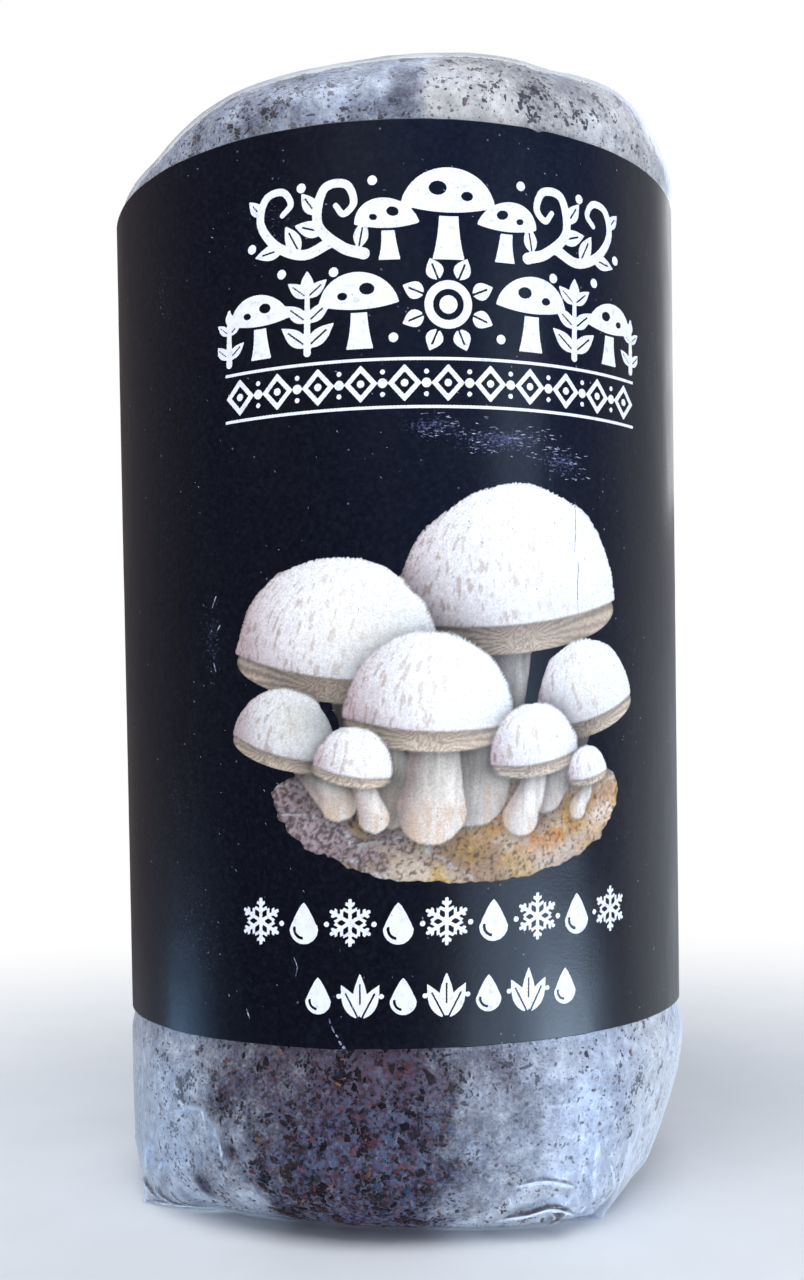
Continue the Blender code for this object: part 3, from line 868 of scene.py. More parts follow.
FILM_ZONES = (("base", 5), ("foot", 14), ("low", 34), ("held", 4), ("shoulder", 30))
NECK_ROWS = 16
FLAP_ROWS = 24
PLEAT_PAIRS = 9.0
PLEAT_HEIGHT = 0.0009
# The flap's seal: how far it lies from the flap's end, its half width, and a radian of its ribs' wave
SEAL_PLACE = 0.006
SEAL_HALF = 0.003
SEAL_RIB = 0.0009
# Soft ridges in the film, as ((heading, height in mm), ...) with the ridge's width and height in mm
RIDGES = (
    (((-62.0, 0.5), (-60.5, 9.0), (-58.0, 17.0)), 3.0, 0.9),
    (((-57.5, 1.5), (-56.0, 7.0), (-52.0, 13.0)), 2.6, 0.8),
    (((-52.0, 1.0), (-51.0, 6.0), (-46.0, 12.0)), 2.4, 0.7),
    (((-47.0, 24.0), (-41.0, 26.5), (-37.0, 24.5), (-34.5, 19.0), (-33.0, 11.0)), 2.6, 0.55),
    (((18.0, 11.0), (22.0, 12.8), (26.0, 12.6), (32.0, 10.0)), 2.4, 0.7),
    (((15.0, 4.2), (22.0, 6.2), (26.6, 7.0), (35.0, 3.0)), 2.6, 0.9),
    (((35.8, 4.0), (36.2, 12.0), (36.8, 20.0)), 2.4, 0.5),
    (((44.0, 1.0), (47.0, 12.0), (52.0, 22.0)), 3.0, 0.7),
    (((128.0, 1.0), (124.0, 12.0), (120.0, 24.0)), 3.4, 0.9),
    (((-142.0, 1.0), (-146.0, 12.0), (-150.0, 24.0)), 3.4, 0.9),
    (((88.0, 3.0), (89.0, 20.0), (90.0, 39.0)), 3.0, 0.35),
    (((-92.0, 3.0), (-92.0, 20.0), (-91.0, 39.0)), 3.0, 0.35),
)


def smooth_path(knots, count):
    """Points of a smooth curve through the knots."""
    knots = np.array(knots, dtype=float)
    padded = np.concatenate([[2 * knots[0] - knots[1]], knots, [2 * knots[-1] - knots[-2]]])
    path = []
    for place in np.linspace(0.0, len(knots) - 1.0, count):
        start = min(int(place), len(knots) - 2)
        share = place - start
        before, first, second, after = padded[start : start + 4]
        bend = (second - before) * share + (2 * before - 5 * first + 4 * second - after) * share**2
        bend = bend + (3 * first - before - 3 * second + after) * share**3
        path.append(first + 0.5 * bend)
    return np.array(path)


def stroke_distance(x, z, path):
    """(distance to a path, share of the way along it) at each point of a plane."""
    nearest, share = np.full(x.shape, np.inf), np.zeros(x.shape)
    for number, (start, end) in enumerate(zip(path[:-1], path[1:])):
        run = end - start
        travelled = ((x - start[0]) * run[0] + (z - start[1]) * run[1]) / max(run @ run, 1e-12)
        travelled = np.clip(travelled, 0.0, 1.0)
        away = np.hypot(x - start[0] - travelled * run[0], z - start[1] - travelled * run[1])
        closer = away < nearest
        nearest = np.where(closer, away, nearest)
        share = np.where(closer, (number + travelled) / (len(path) - 1), share)
    return nearest, share


def ridge_height(headings, heights):
    """How far the film's folds lift it, in metres, and how sharply it is creased there, from 0 to 1."""
    lift, crease = np.zeros(headings.shape), np.zeros(headings.shape)
    for knots, width, tall in RIDGES:
        knots = np.array(knots)
        middle = knots[:, 0].mean()
        knots[:, 0] = np.radians(knots[:, 0] - middle) * BLOCK_RADIUS / MM
        arcs = np.radians(turned_by(headings, middle)) * BLOCK_RADIUS / MM
        away, share = stroke_distance(arcs, heights / MM, smooth_path(knots, 12))
        taper = smooth_step(4.0 * share) * smooth_step(4.0 * (1.0 - share))
        lift = np.maximum(lift, tall * MM * taper * np.maximum(0.0, 1.0 - away / width) ** 1.5)
        crease = np.maximum(crease, taper * np.maximum(0.0, 1.0 - away / (0.45 * width)))
    return lift, crease


def pushed_out(ring, zone, step, headings):
    """The film's ring with its folds and small wrinkles. They only ever stand away from the block."""
    if zone == "held":
        return ring, np.zeros(len(ring))
    lift, crease = ridge_height(headings, ring[:, 2])
    wrinkle = 0.00010 + 0.00012 * noise_at(ring, 0.009, 3, seed=9.0)
    turn = step * math.pi / 2
    out, up = {
        "base": (0.0, 0.0), "foot": (math.sin(turn), 0.0), "low": (1.0, 0.0),
        "shoulder": (math.cos(turn), math.sin(turn)),
    }[zone]
    outside = np.maximum(LABEL_BOTTOM - ring[:, 2], ring[:, 2] - LABEL_TOP) - LABEL_MARGIN
    edge = smooth_step(outside / 0.004)
    rise = (lift + wrinkle) * edge
    wider = 1.0 + out * rise / np.maximum(np.hypot(ring[:, 0], ring[:, 1]), 1e-6)
    grown = ring * np.stack([wider, wider, np.ones(len(ring))], 1)
    grown[:, 2] += up * rise
    return grown, crease * edge


def neck_rings(headings):
    """The film above the shoulder: drawn flat over the top in pleats, then folded over as a flap."""
    angles = np.radians(headings - PANEL_HEADING)
    sides, depths = FLAP_HALF_WIDTH * np.sin(angles), -FLAP_HALF_DEPTH * np.cos(angles)
    edge = form_row(headings, "shoulder", 1.0, lift=GAP)
    foot_of_flap = flap_points(sides, depths, np.zeros_like(sides))
    pleats = np.abs(np.sin(PLEAT_PAIRS * angles + 1.3 * np.sin(3.0 * angles + 0.7))) - 0.35
    rings, creases = [], []
    for share in np.linspace(0.06, 0.97, NECK_ROWS):
        ring = edge + (foot_of_flap - edge) * share
        rise = 0.6 * share + 0.4 * share**3
        ring[:, 2] = edge[:, 2] + (BLOCK_TOP + FLAP_START[1] - edge[:, 2]) * rise
        depth = math.sin(math.pi * share) ** 0.8
        ring[:, 2] += PLEAT_HEIGHT * depth * np.maximum(0.0, pleats) + 0.0002 * depth
        rings.append(ring)
        creases.append(depth * smooth_step((pleats - 0.45) / 0.2) * 0.8)
    sharp = 0.3 * smooth_step((np.abs(np.sin(angles)) - 0.96) / 0.03)
    for travel in np.linspace(0.0, flap_end(), FLAP_ROWS):
        puff = 1.0 + 0.25 * np.sin(5.0 * angles) * math.sin(math.pi * travel / flap_end())
        sealed = max(0.0, 1.0 - abs(travel - flap_end() + SEAL_PLACE) / SEAL_HALF)
        ribs = 0.12 * sealed * np.sin(travel / SEAL_RIB)
        thin = (1.0 - 0.5 * sealed) * puff + ribs
        rings.append(flap_points(sides, depths * thin * 0.96, np.full_like(sides, travel)))
        creases.append(0.35 * sealed + sharp)
    return rings, creases


def add_bag(headings):
    """The film bag. Returns its rings up to the shoulder's end."""
    rings, creases = [], []
    for zone, step in rows_of(FILM_ZONES):
        ring = eared(headings, zone, step, form_row(headings, zone, step, lift=GAP))
        ring, crease = pushed_out(ring, zone, step, headings)
        rings.append(ring)
        creases.append(crease)
    neck, neck_creases = neck_rings(headings)
    grid = np.array(rings + neck)
    grid[..., 2] = np.maximum(grid[..., 2], FILM)
    rows, columns = grid.shape[:2]
    points = np.concatenate([grid.reshape(-1, 3), [(0.0, 0.0, FILM)]])
    faces = grid_faces(rows, columns, closed=True)
    faces += ring_fan(list(range(columns)), rows * columns, outward=False)
    film = clear_film("clear_film", haze=0.020, dust=0.03, tint=(0.80, 0.87, 1.0), rough=(0.22, 0.42))
    bag = new_object("bag_film", points, faces, [film])
    give(bag, "creased", np.append(np.concatenate(creases + neck_creases), 0.0))
    wetness = smooth_step((0.58 - cover_at(points)) / 0.42)
    give(bag, "wetness", wetness * (points[:, 2] < FOOT_SHOWS_BELOW))
    thicken(bag, FILM)
    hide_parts("grow_bag")
    return grid[:len(rings)]


# Sharp folds low on the bag, as strips with painted shade on the fold's dark side and a painted highlight on
# its pale side, and glints that are painted highlights only:
# ((heading, height in mm), ...), width in mm, strength, share of the width that is painted shade
PAINTED_FOLDS = (
    (((17.8, 12.1), (21.4, 12.8), (24.0, 13.0), (26.5, 12.4), (29.4, 11.2), (32.4, 9.8)), 1.9, 0.75, 0.45),
    (((15.6, 4.2), (19.0, 5.5), (22.1, 6.0), (24.5, 6.7), (26.6, 6.8), (30.1, 5.1), (35.3, 2.1)),
     2.4, 1.25, 0.50),
    (((25.6, 6.3), (27.6, 5.7), (28.9, 4.4), (29.2, 3.0), (28.6, 1.6), (27.0, 0.6)), 2.5, 1.6, 0.88),
    (((-61.2, 7.4), (-60.4, 4.4), (-58.4, 1.6)), 2.2, 0.75, 0.60),
    (((-57.6, 6.4), (-56.6, 3.2), (-54.4, 1.0)), 2.2, 0.70, 0.60),
    (((-53.6, 5.6), (-52.8, 2.8), (-50.6, 0.9)), 2.0, 0.65, 0.60),
    (((-62.0, 0.9), (-57.0, 0.8), (-51.0, 0.7), (-45.0, 0.7)), 0.9, 0.65, 0.0),
    (((-46.4, 27.0), (-45.0, 26.2), (-44.0, 24.8)), 1.2, 0.80, 0.0),
    (((-39.4, 26.4), (-38.8, 25.0), (-38.9, 23.4)), 0.9, 0.70, 0.0),
    (((-35.0, 20.6), (-34.6, 18.6), (-35.2, 16.8)), 1.2, 0.65, 0.25),
    (((35.5, 9.6), (35.9, 8.0), (36.2, 6.4)), 0.9, 0.70, 0.0),
    (((34.9, 5.4), (34.7, 4.2), (34.2, 3.2)), 1.0, 0.75, 0.0),
    (((18.0, 10.4), (18.4, 9.2), (18.2, 8.2)), 0.8, 0.50, 0.30),
    (((23.4, 27.6), (27.0, 27.9), (31.4, 27.0)), 1.3, 0.22, 0.25),
    (((32.0, 21.4), (34.6, 20.6), (37.4, 20.2)), 1.2, 0.20, 0.25),
    (((39.5, 14.5), (42.5, 10.0), (44.5, 5.0)), 1.4, 0.40, 0.40),
    (((121.0, 15.0), (123.0, 8.0), (126.0, 2.0)), 2.0, 0.60, 0.50),
    (((-140.0, 12.0), (-143.0, 7.0), (-148.0, 2.0)), 2.0, 0.60, 0.50),
)
CREASE_STEPS = 28
CREASE_LINES = 7
CREASE_FOOT = 0.00035


def on_film(film, headings, heights):
    """Points on the film's outer face below the label, from its rings."""
    ring_headings = heading_of(film[-1])
    points = []
    for heading, height in zip(headings, heights):
        column = np.argmin(np.abs(turned_by(ring_headings, heading)))
        line_up = film[:, column]
        low = line_up[line_up[:, 2] < LABEL_BOTTOM]
        order = np.argsort(low[:, 2], kind="stable")
        radius = np.interp(height, low[order, 2], np.hypot(low[order, 0], low[order, 1]))
        points.append(at_heading(heading, radius + FILM, height))
    return np.array(points)


def sideways(path):
    """For each point of a path, the direction of unit length square to it."""
    runs = np.gradient(path, axis=0)
    runs /= np.linalg.norm(runs, axis=1, keepdims=True)
    return np.stack([-runs[:, 1], runs[:, 0]], 1)


def add_painted_folds(film):
    """Thin strips that stand just off the film along its sharp folds, coloured with painted shade and
    painted highlights.
    """
    points, faces, shade_shares, strengths = [], [], [], []
    share = np.linspace(0.0, 1.0, CREASE_STEPS)
    taper = smooth_step(3.5 * share) * smooth_step(3.5 * (1.0 - share))
    for knots, width, strength, dark in PAINTED_FOLDS:
        path = smooth_path(knots, CREASE_STEPS)
        flat = np.stack([np.radians(path[:, 0]) * BLOCK_RADIUS / MM, path[:, 1]], 1)
        aside = sideways(flat)
        aside *= np.where(aside[:, 1:] < 0.0, -1.0, 1.0)
        start = len(shade_shares)
        for across in np.linspace(-1.0, 1.0, CREASE_LINES):
            strip = flat + aside * (0.5 * width * across * (0.45 + 0.55 * taper))[:, None]
            headings = np.degrees(strip[:, 0] * MM / BLOCK_RADIUS)
            surface = on_film(film, headings, np.maximum(strip[:, 1] * MM, CREASE_FOOT))
            raised = 0.00010 + 0.00028 * (1.0 - across**2) * taper
            surface += at_heading(headings, raised, 0.0)
            points += surface.tolist()
            # Across a fold it runs from painted highlight to painted shade; a glint is painted highlight
            # only
            shade_shares += [0.5 * (across + 1.0) + dark - 0.5 if dark else 0.1] * CREASE_STEPS
            strengths += (strength * taper * (1.0 - across**2) ** 0.6).tolist()
        faces += [tuple(start + place for place in face) for face in grid_faces(CREASE_LINES, CREASE_STEPS)]
    creases = new_object("film_folds_painted_shade", np.array(points), faces, [painted_fold_material()])
    give(creases, "tone", np.clip(shade_shares, 0.0, 1.0))
    give(creases, "strength", np.array(strengths))


# The label and its print


LABEL_COLUMNS = 380
LABEL_ROWS = 94
LABEL_RIM = 0.0008
LABEL_RAGGED = 0.00012
# Worn places: heading, height in mm, half width and half height in mm, strength
WEAR = (
    (6.0, 163.0, 7.0, 2.2, 0.9), (18.0, 160.5, 12.0, 2.4, 1.0), (30.0, 157.0, 6.0, 2.6, 0.9),
    (31.5, 136.0, 3.5, 15.0, 0.55), (-36.0, 124.0, 3.0, 10.0, 0.60), (-46.0, 90.0, 8.0, 8.0, 0.30),
    (-20.0, 205.0, 9.0, 9.0, 0.45), (-48.0, 196.0, 8.0, 9.0, 0.35), (-40.0, 62.0, 9.0, 12.0, 0.40),
    (36.0, 176.0, 9.0, 5.0, 0.35), (150.0, 120.0, 20.0, 40.0, 0.45), (-120.0, 90.0, 16.0, 30.0, 0.40),
)
# The notch in the label's top edge: heading, half width and depth in mm
TOP_NOTCH = (26.0, 1.6, 0.5)


def wear_at(headings, heights):
    """How worn the label is, from 0 to 1, with a little wear along both its edges."""
    wear = np.zeros(headings.shape)
    for heading, height, wide, tall, strength in WEAR:
        arcs = np.radians(turned_by(headings, heading)) * LABEL_RADIUS / MM
        away = np.hypot(arcs / wide, (heights / MM - height) / tall)
        wear = np.maximum(wear, strength * np.exp(-(away**2)))
    ends = np.minimum(heights - LABEL_BOTTOM, LABEL_TOP - heights)
    return np.clip(wear + 0.18 * np.exp(-ends / 0.0012), 0.0, 1.0)


def add_label():
    """The printed strip, once round and over its own start at the back."""
    turns = np.linspace(0.0, 360.0 + LABEL_OVERLAP, LABEL_COLUMNS)
    shares = [0.0, *np.linspace(LABEL_RIM, 1.0 - LABEL_RIM, LABEL_ROWS - 2), 1.0]
    turn, share = np.meshgrid(turns, shares)
    headings = LABEL_SEAM + turn
    height = LABEL_BOTTOM + share * (LABEL_TOP - LABEL_BOTTOM)
    over = smooth_step((turn - 360.0 + LABEL_LEAD) / LABEL_LEAD)
    ragged = LABEL_RAGGED * noise_at(at_heading(headings, LABEL_RADIUS, np.round(height, 2)), 0.011, 3)
    place, width, depth = TOP_NOTCH
    away = np.radians(np.abs(turned_by(headings, place))) * LABEL_RADIUS / (width * MM)
    notch = depth * MM * smooth_step(1.0 - away) * (share > 0.985)
    points = on_label(headings, height + ragged * (np.abs(share - 0.5) > 0.49) - notch, 0.0)
    points = points + at_heading(headings, over * (PAPER + GAP) - PAPER, 0.0)
    label = new_object("label_sheet", points.reshape(-1, 3), grid_faces(*turn.shape), [label_material()])
    give(label, "wear", wear_at(headings, height).ravel())
    thicken(label, PAPER)
    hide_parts("wrap_label")


# The white print. Each of its shapes is a field of numbers over a flat grid, above 0 inside the shape.


def flat_grid(left, right, low, high, pitch):
    """(x, z) of a grid of points in millimetres on the unrolled label."""
    xs = np.linspace(left, right, round((right - left) / pitch) + 1)
    zs = np.linspace(low, high, round((high - low) / pitch) + 1)
    return np.meshgrid(xs, zs)


def cut_out(x, z, field):
    """The part of a flat grid where the field is above 0, cut along its outline.

    Returns the points, the faces, and for each point the two grid points it lies between and its share.
    """
    rows, columns = field.shape
    index = np.arange(rows * columns).reshape(rows, columns)
    corners = (index[:-1, :-1], index[:-1, 1:], index[1:, 1:], index[1:, :-1])
    quads = np.stack(corners, -1).reshape(-1, 4)
    values = field.ravel()
    inside = values > 0.0
    sources = [(place, place, 0.0) for place in range(rows * columns)]
    faces = quads[inside[quads].all(1)].tolist()
    crossings = {}
    edge_quads = quads[inside[quads].any(1) & ~inside[quads].all(1)]
    triangles = np.concatenate([edge_quads[:, (0, 1, 2)], edge_quads[:, (0, 2, 3)]])
    for triangle in triangles[inside[triangles].any(1)].tolist():
        outline = []
        for start, end in zip(triangle, triangle[1:] + triangle[:1]):
            if inside[start]:
                outline.append(start)
            if inside[start] != inside[end]:
                pair = (min(start, end), max(start, end))
                if pair not in crossings:
                    crossings[pair] = len(sources)
                    sources.append((*pair, values[pair[0]] / (values[pair[0]] - values[pair[1]])))
                outline.append(crossings[pair])
        faces.append(outline)
    used = sorted({place for face in faces for place in face})
    number = {place: count for count, place in enumerate(used)}
    faces = [[number[place] for place in face] for face in faces]
    kept = np.array([sources[place] for place in used])
    first, second, share = kept[:, 0].astype(int), kept[:, 1].astype(int), kept[:, 2]
    flat = np.stack([x.ravel(), z.ravel()], 1)
    points = flat[first] + (flat[second] - flat[first]) * share[:, None]
    return points, faces, (first, second, share)


def wrapped(points, lift):
    """Points of the unrolled print, in millimetres, on the label."""
    x, z = points[:, 0], points[:, 1]
    headings = PRINT_HEADING + np.degrees((x + PRINT_DRIFT * (z - PRINT_FOOT)) * MM / LABEL_RADIUS)
    return on_label(headings, z * MM, lift)


def disc(x, z, centre, radius):
    return radius - np.hypot(x - centre[0], z - centre[1])


def ring(x, z, centre, radius, width):
    return 0.5 * width - np.abs(np.hypot(x - centre[0], z - centre[1]) - radius)


def line(x, z, knots, first_width, last_width, count=24):
    """A brush line through the knots, whose width changes along it."""
    away, share = stroke_distance(x, z, smooth_path(knots, count))
    return 0.5 * (first_width + (last_width - first_width) * share) - away


def leaf(x, z, base, angle, length, width):
    """A pointed leaf from its base, with a bare line down its middle."""
    cosine, sine = math.cos(math.radians(angle)), math.sin(math.radians(angle))
    along = (x - base[0]) * cosine + (z - base[1]) * sine
    across = (z - base[1]) * cosine - (x - base[0]) * sine
    share = np.clip(along / length, 0.0, 1.0)
    edge = 0.5 * width * np.sin(math.pi * share**0.8) - np.abs(across)
    inside = np.minimum(edge, np.minimum(along, length - along))
    vein = np.abs(across) - 0.045 * width - 0.05
    return np.minimum(inside, np.where(along < 0.75 * length, vein, inside))


def toadstool(x, z, foot, size, lean=0.0):
    """A small upright mushroom: a domed cap over a curved stem, with a bare gap between them."""
    x = x - foot[0] - lean * ((z - foot[1]) / size) ** 2
    up = (z - foot[1]) / size
    side = x / size
    dome = 1.0 - np.hypot(side / 0.52, (up - 0.52) / 0.46)
    rim = up - 0.50 - 0.30 * side**2
    cap = np.minimum(0.45 * dome, rim)
    spot = np.hypot((side + 0.12) / 1.3, up - 0.76) - 0.075
    other = np.hypot((side - 0.20) / 1.3, up - 0.68) - 0.05
    cap = np.minimum(cap, np.minimum(spot, other))
    waist = 0.105 + 0.07 * (0.5 - up) ** 2 * 4.0
    stem = np.minimum(waist - np.abs(side), np.minimum(up, 0.46 + 0.30 * side**2 - up))
    return size * np.maximum(cap, stem)


def drop(x, z, centre, size):
    """A water drop with a bare glint."""
    side, up = (x - centre[0]) / size, (z - centre[1]) / size
    width = np.where(up > 0.0, 0.36 * (1.0 - np.clip(up / 0.62, 0.0, 1.0)) ** 0.75, 0.36)
    body = np.where(up > 0.0, 0.8 * (width - np.abs(side)), 0.36 - np.hypot(side, up))
    glint = 0.035 - np.abs(np.hypot(side + 0.02, up) - 0.22)
    glint = np.where((side < -0.02) & (up < 0.05), glint, -1.0)
    return size * np.minimum(body, -glint)


def crystal(x, z, centre, size):
    """A six-armed snow crystal with two pairs of twigs on each arm."""
    side, up = x - centre[0], z - centre[1]
    field = disc(x, z, centre, 0.13 * size)
    for arm in range(6):
        angle = math.pi / 2 + arm * math.pi / 3
        along = side * math.cos(angle) + up * math.sin(angle)
        across = np.abs(up * math.cos(angle) - side * math.sin(angle))
        arms = np.minimum(0.075 * size - across, np.minimum(along, size - along))
        field = np.maximum(field, arms)
        for start, reach in ((0.42, 0.30), (0.70, 0.20)):
            sloped = 0.064 * size - np.abs((along - start * size) * 0.87 - across * 0.5)
            twig = np.minimum(sloped, np.minimum(across + 0.05 * size, reach * size - across))
            field = np.maximum(field, twig)
    return field


def joined(fields):
    return np.maximum.reduce(list(fields))


# The radius of the print's single dots
DOT = 0.95
# The top row's curled fern shoots, with their widths at the foot
SHOOTS = (
    (((16.6, 197.0), (21.0, 198.6), (25.8, 203.4), (24.6, 210.2), (20.2, 210.8), (18.6, 207.2),
      (20.6, 205.0), (22.2, 206.8)), 2.3),
    (((23.0, 199.8), (28.6, 197.8), (34.4, 200.2), (38.0, 205.2), (36.8, 210.0), (33.2, 210.8),
      (31.4, 208.2), (33.2, 206.2)), 2.2),
)
# The shoots' leaves: foot, angle in degrees, length and width
SHOOT_LEAVES = (
    ((24.6, 201.8), 18.0, 6.4, 3.3), ((26.0, 205.4), 55.0, 5.6, 3.0), ((17.6, 198.2), 100.0, 5.6, 2.9),
    ((29.6, 198.4), 62.0, 6.4, 3.2), ((33.0, 199.6), -8.0, 6.4, 3.0), ((37.8, 206.8), 50.0, 4.4, 2.5),
)


def top_band():
    """The tallest row: a cluster of three toadstools between curling fern shoots."""
    x, z = flat_grid(-41.0, 41.0, 194.0, 215.0, 0.28)
    side = np.abs(x)
    shapes = [toadstool(x, z, (0.0, 195.6), 18.4), toadstool(side, z, (11.6, 195.6), 12.4, lean=1.6)]
    shapes += [line(side, z, knots, width, 1.1, 44) for knots, width in SHOOTS]
    shapes += [leaf(side, z, *leaf_shape) for leaf_shape in SHOOT_LEAVES]
    shapes += [disc(side, z, centre, DOT) for centre in ((29.2, 211.0), (15.0, 211.2), (40.0, 200.6))]
    return x, z, joined(shapes)


def sprig(x, z, foot, tall, pairs):
    """An upright stem with pairs of leaves that get smaller towards its tip."""
    shapes = [line(x, z, (foot, (foot[0], foot[1] + tall)), 1.5, 0.8, 6)]
    shapes.append(leaf(x, z, (foot[0], foot[1] + 0.74 * tall), 90.0, 0.30 * tall, 0.17 * tall))
    for pair in range(pairs):
        share = (pair + 0.25) / (pairs + 0.2)
        base = (foot[0], foot[1] + share * tall)
        length, width = (0.46 - 0.18 * share) * tall, (0.21 - 0.07 * share) * tall
        shapes += [leaf(x, z, base, angle, length, width) for angle in (38.0, 142.0)]
    return joined(shapes)


def woodland_band():
    """The second row: a rosette, and toadstools and sprigs by turns to both sides of it."""
    x, z = flat_grid(-48.5, 48.5, 177.0, 197.0, 0.28)
    side = np.abs(x)
    middle, petal_foot, ground = 186.8, 5.2, 178.4
    shapes = [ring(x, z, (0.0, middle), 3.9, 1.7), disc(x, z, (0.0, middle), 1.8)]
    for angle in np.arange(22.5, 360.0, 45.0):
        turn = math.radians(angle)
        base = (petal_foot * math.cos(turn), middle + petal_foot * math.sin(turn))
        shapes.append(leaf(x, z, base, angle, 4.6, 3.5))
    shapes.append(toadstool(side, z, (17.4, ground), 15.4, lean=0.8))
    shapes.append(sprig(side, z, (28.0, ground), 15.6, 3))
    shapes.append(toadstool(side, z, (38.0, ground), 13.2, lean=1.2))
    shapes.append(sprig(side, z, (45.6, ground), 10.6, 2))
    shapes += [disc(side, z, centre, DOT) for centre in ((10.8, 180.4), (22.6, 193.8), (33.4, 194.6))]
    return x, z, joined(shapes)


def bead_band():
    """The third row: hollow lozenges and beads between two fine lines."""
    x, z = flat_grid(-47.5, 47.5, 165.8, 177.2, 0.26)
    middle, pitch = 171.5, 8.6
    shapes = []
    for step in range(-5, 6):
        centre = step * pitch
        lozenge = (3.5 - np.abs(x - centre) * 1.05 - np.abs(z - middle) * 0.95) * 0.7
        shapes += [np.minimum(lozenge, 0.95 - lozenge), disc(x, z, (centre, middle), 0.75)]
    for step in range(-5, 5):
        centre = (step + 0.5) * pitch
        for up, radius in ((0.0, DOT), (-2.2, 0.5), (2.2, 0.5)):
            shapes.append(disc(x, z, (centre, middle + up), radius))
    ends = 46.6 - np.abs(x)
    shapes += [np.minimum(0.3 - np.abs(z - middle - up), ends) for up in (-4.7, 4.7)]
    return x, z, joined(shapes)


def weather_rows():
    """The two lowest rows: snow crystals and drops, then drops and leaves."""
    x, z = flat_grid(-43.0, 43.0, 46.0, 71.5, 0.26)
    upper, lower = 9.6, 8.6
    shapes = [crystal(x, z, (step * upper, 65.9), 4.7) for step in range(-4, 5, 2)]
    shapes += [drop(x, z, (step * upper, 64.6), 8.4) for step in range(-3, 4, 2)]
    shapes += [disc(x, z, (step * upper + 4.8, 65.6), 0.55) for step in range(-4, 4)]
    shapes += [drop(x, z, (step * lower, 50.4), 7.4) for step in range(-3, 4, 2)]
    shapes += [disc(x, z, (step * lower + 4.3, 51.4), 0.5) for step in range(-3, 3)]
    for centre in (-2 * lower, 0.0, 2 * lower):
        shapes.append(leaf(x, z, (centre - 0.3, 47.0), 118.0, 7.6, 3.1))
        shapes.append(leaf(x, z, (centre + 0.3, 47.0), 62.0, 7.6, 3.1))
        shapes.append(leaf(x, z, (centre, 47.4), 90.0, 8.6, 2.8))
    return x, z, joined(shapes)


def add_print():
    """The white print, one thin sheet of ink for each band, whose edges waver a little."""
    ink = ink_material()
    for drawn in (top_band, woodland_band, bead_band, weather_rows):
        x, z, field = drawn()
        field = field + 0.05 * np.sin(x * 9.1 + np.sin(z * 7.3)) * np.sin(z * 8.3)
        points, faces, _ = cut_out(x, z, field)
        band = new_object("print_" + drawn.__name__, wrapped(points, INK_LIFT), faces, [ink])


# Marks on the label, as ((x, z), ...) paths in millimetres with their widths at both ends
CRACKS = (
    (((-23.5, 47.0), (-23.2, 46.0)), 0.22, 0.45), (((-23.0, 45.5), (-22.4, 44.2)), 0.50, 0.30),
    (((-22.1, 43.8), (-21.6, 43.2)), 0.30, 0.55), (((-21.5, 42.6), (-20.9, 41.8)), 0.40, 0.60),
    (((-20.7, 41.6), (-20.2, 41.1)), 0.75, 0.55), (((-42.0, 48.0), (-41.2, 46.0)), 0.20, 0.35),
    (((28.2, 150.0), (28.4, 144.0), (28.1, 139.0)), 0.10, 0.28),
    (((29.2, 137.0), (28.9, 131.0), (29.3, 124.0)), 0.25, 0.10),
    (((-49.4, 132.0), (-50.6, 129.6)), 0.42, 0.20),
    (((-48.4, 126.0), (-49.2, 124.8)), 0.40, 0.25),
    (((-50.2, 118.4), (-49.6, 116.4)), 0.38, 0.18),
    (((-12.0, 77.0), (-11.0, 75.4)), 0.30, 0.15),
    (((-31.0, 59.0), (-30.2, 57.0), (-30.6, 55.0)), 0.22, 0.12),
)
# Where short dashes crowd: left, right, low, high, and how many
DASH_ZONES = ((-6.0, 8.0, 161.0, 165.5, 26), (4.0, 24.0, 157.0, 163.5, 54), (20.0, 32.0, 153.5, 160.0, 30))
LONE_DASHES = 260


def add_scuffs():
    """Cracks and rubbed dashes in the gloss where the photograph shows them, and lone ones all over."""
    chance = random.Random(SEED)
    marks = list(CRACKS)
    for left, right, low, high, count in DASH_ZONES:
        for _ in range(count):
            x, z = chance.uniform(left, right), chance.uniform(low, high)
            run, rise = chance.uniform(0.25, 1.5), chance.uniform(-0.25, 0.25)
            marks.append((((x, z), (x + run, z + rise)), chance.uniform(0.10, 0.34), 0.10))
    for _ in range(LONE_DASHES):
        x, z = chance.uniform(-58.0, 56.0), chance.uniform(44.0, 221.0)
        run = chance.uniform(0.05, 0.5)
        marks.append((((x, z), (x + run, z - chance.uniform(0.0, 0.5))), chance.uniform(0.10, 0.26), 0.08))
    points, faces = [], []
    for knots, first_width, last_width in marks:
        path = smooth_path(knots, 2 * len(knots) + 1)
        widths = np.linspace(first_width, last_width, len(path)) * np.sin(np.linspace(0.35, 2.8, len(path)))
        offsets = sideways(path) * (0.5 * widths)[:, None]
        start = len(points)
        points += (path - offsets).tolist() + (path + offsets).tolist()
        faces += [tuple(start + place for place in face) for face in grid_faces(2, len(path))]
    scuffs = new_object("label_scuffs", wrapped(np.array(points), INK_LIFT), faces, [scuff_material()])


# The printed picture: a made-up cluster of smooth-capped mushrooms on a piece of wood


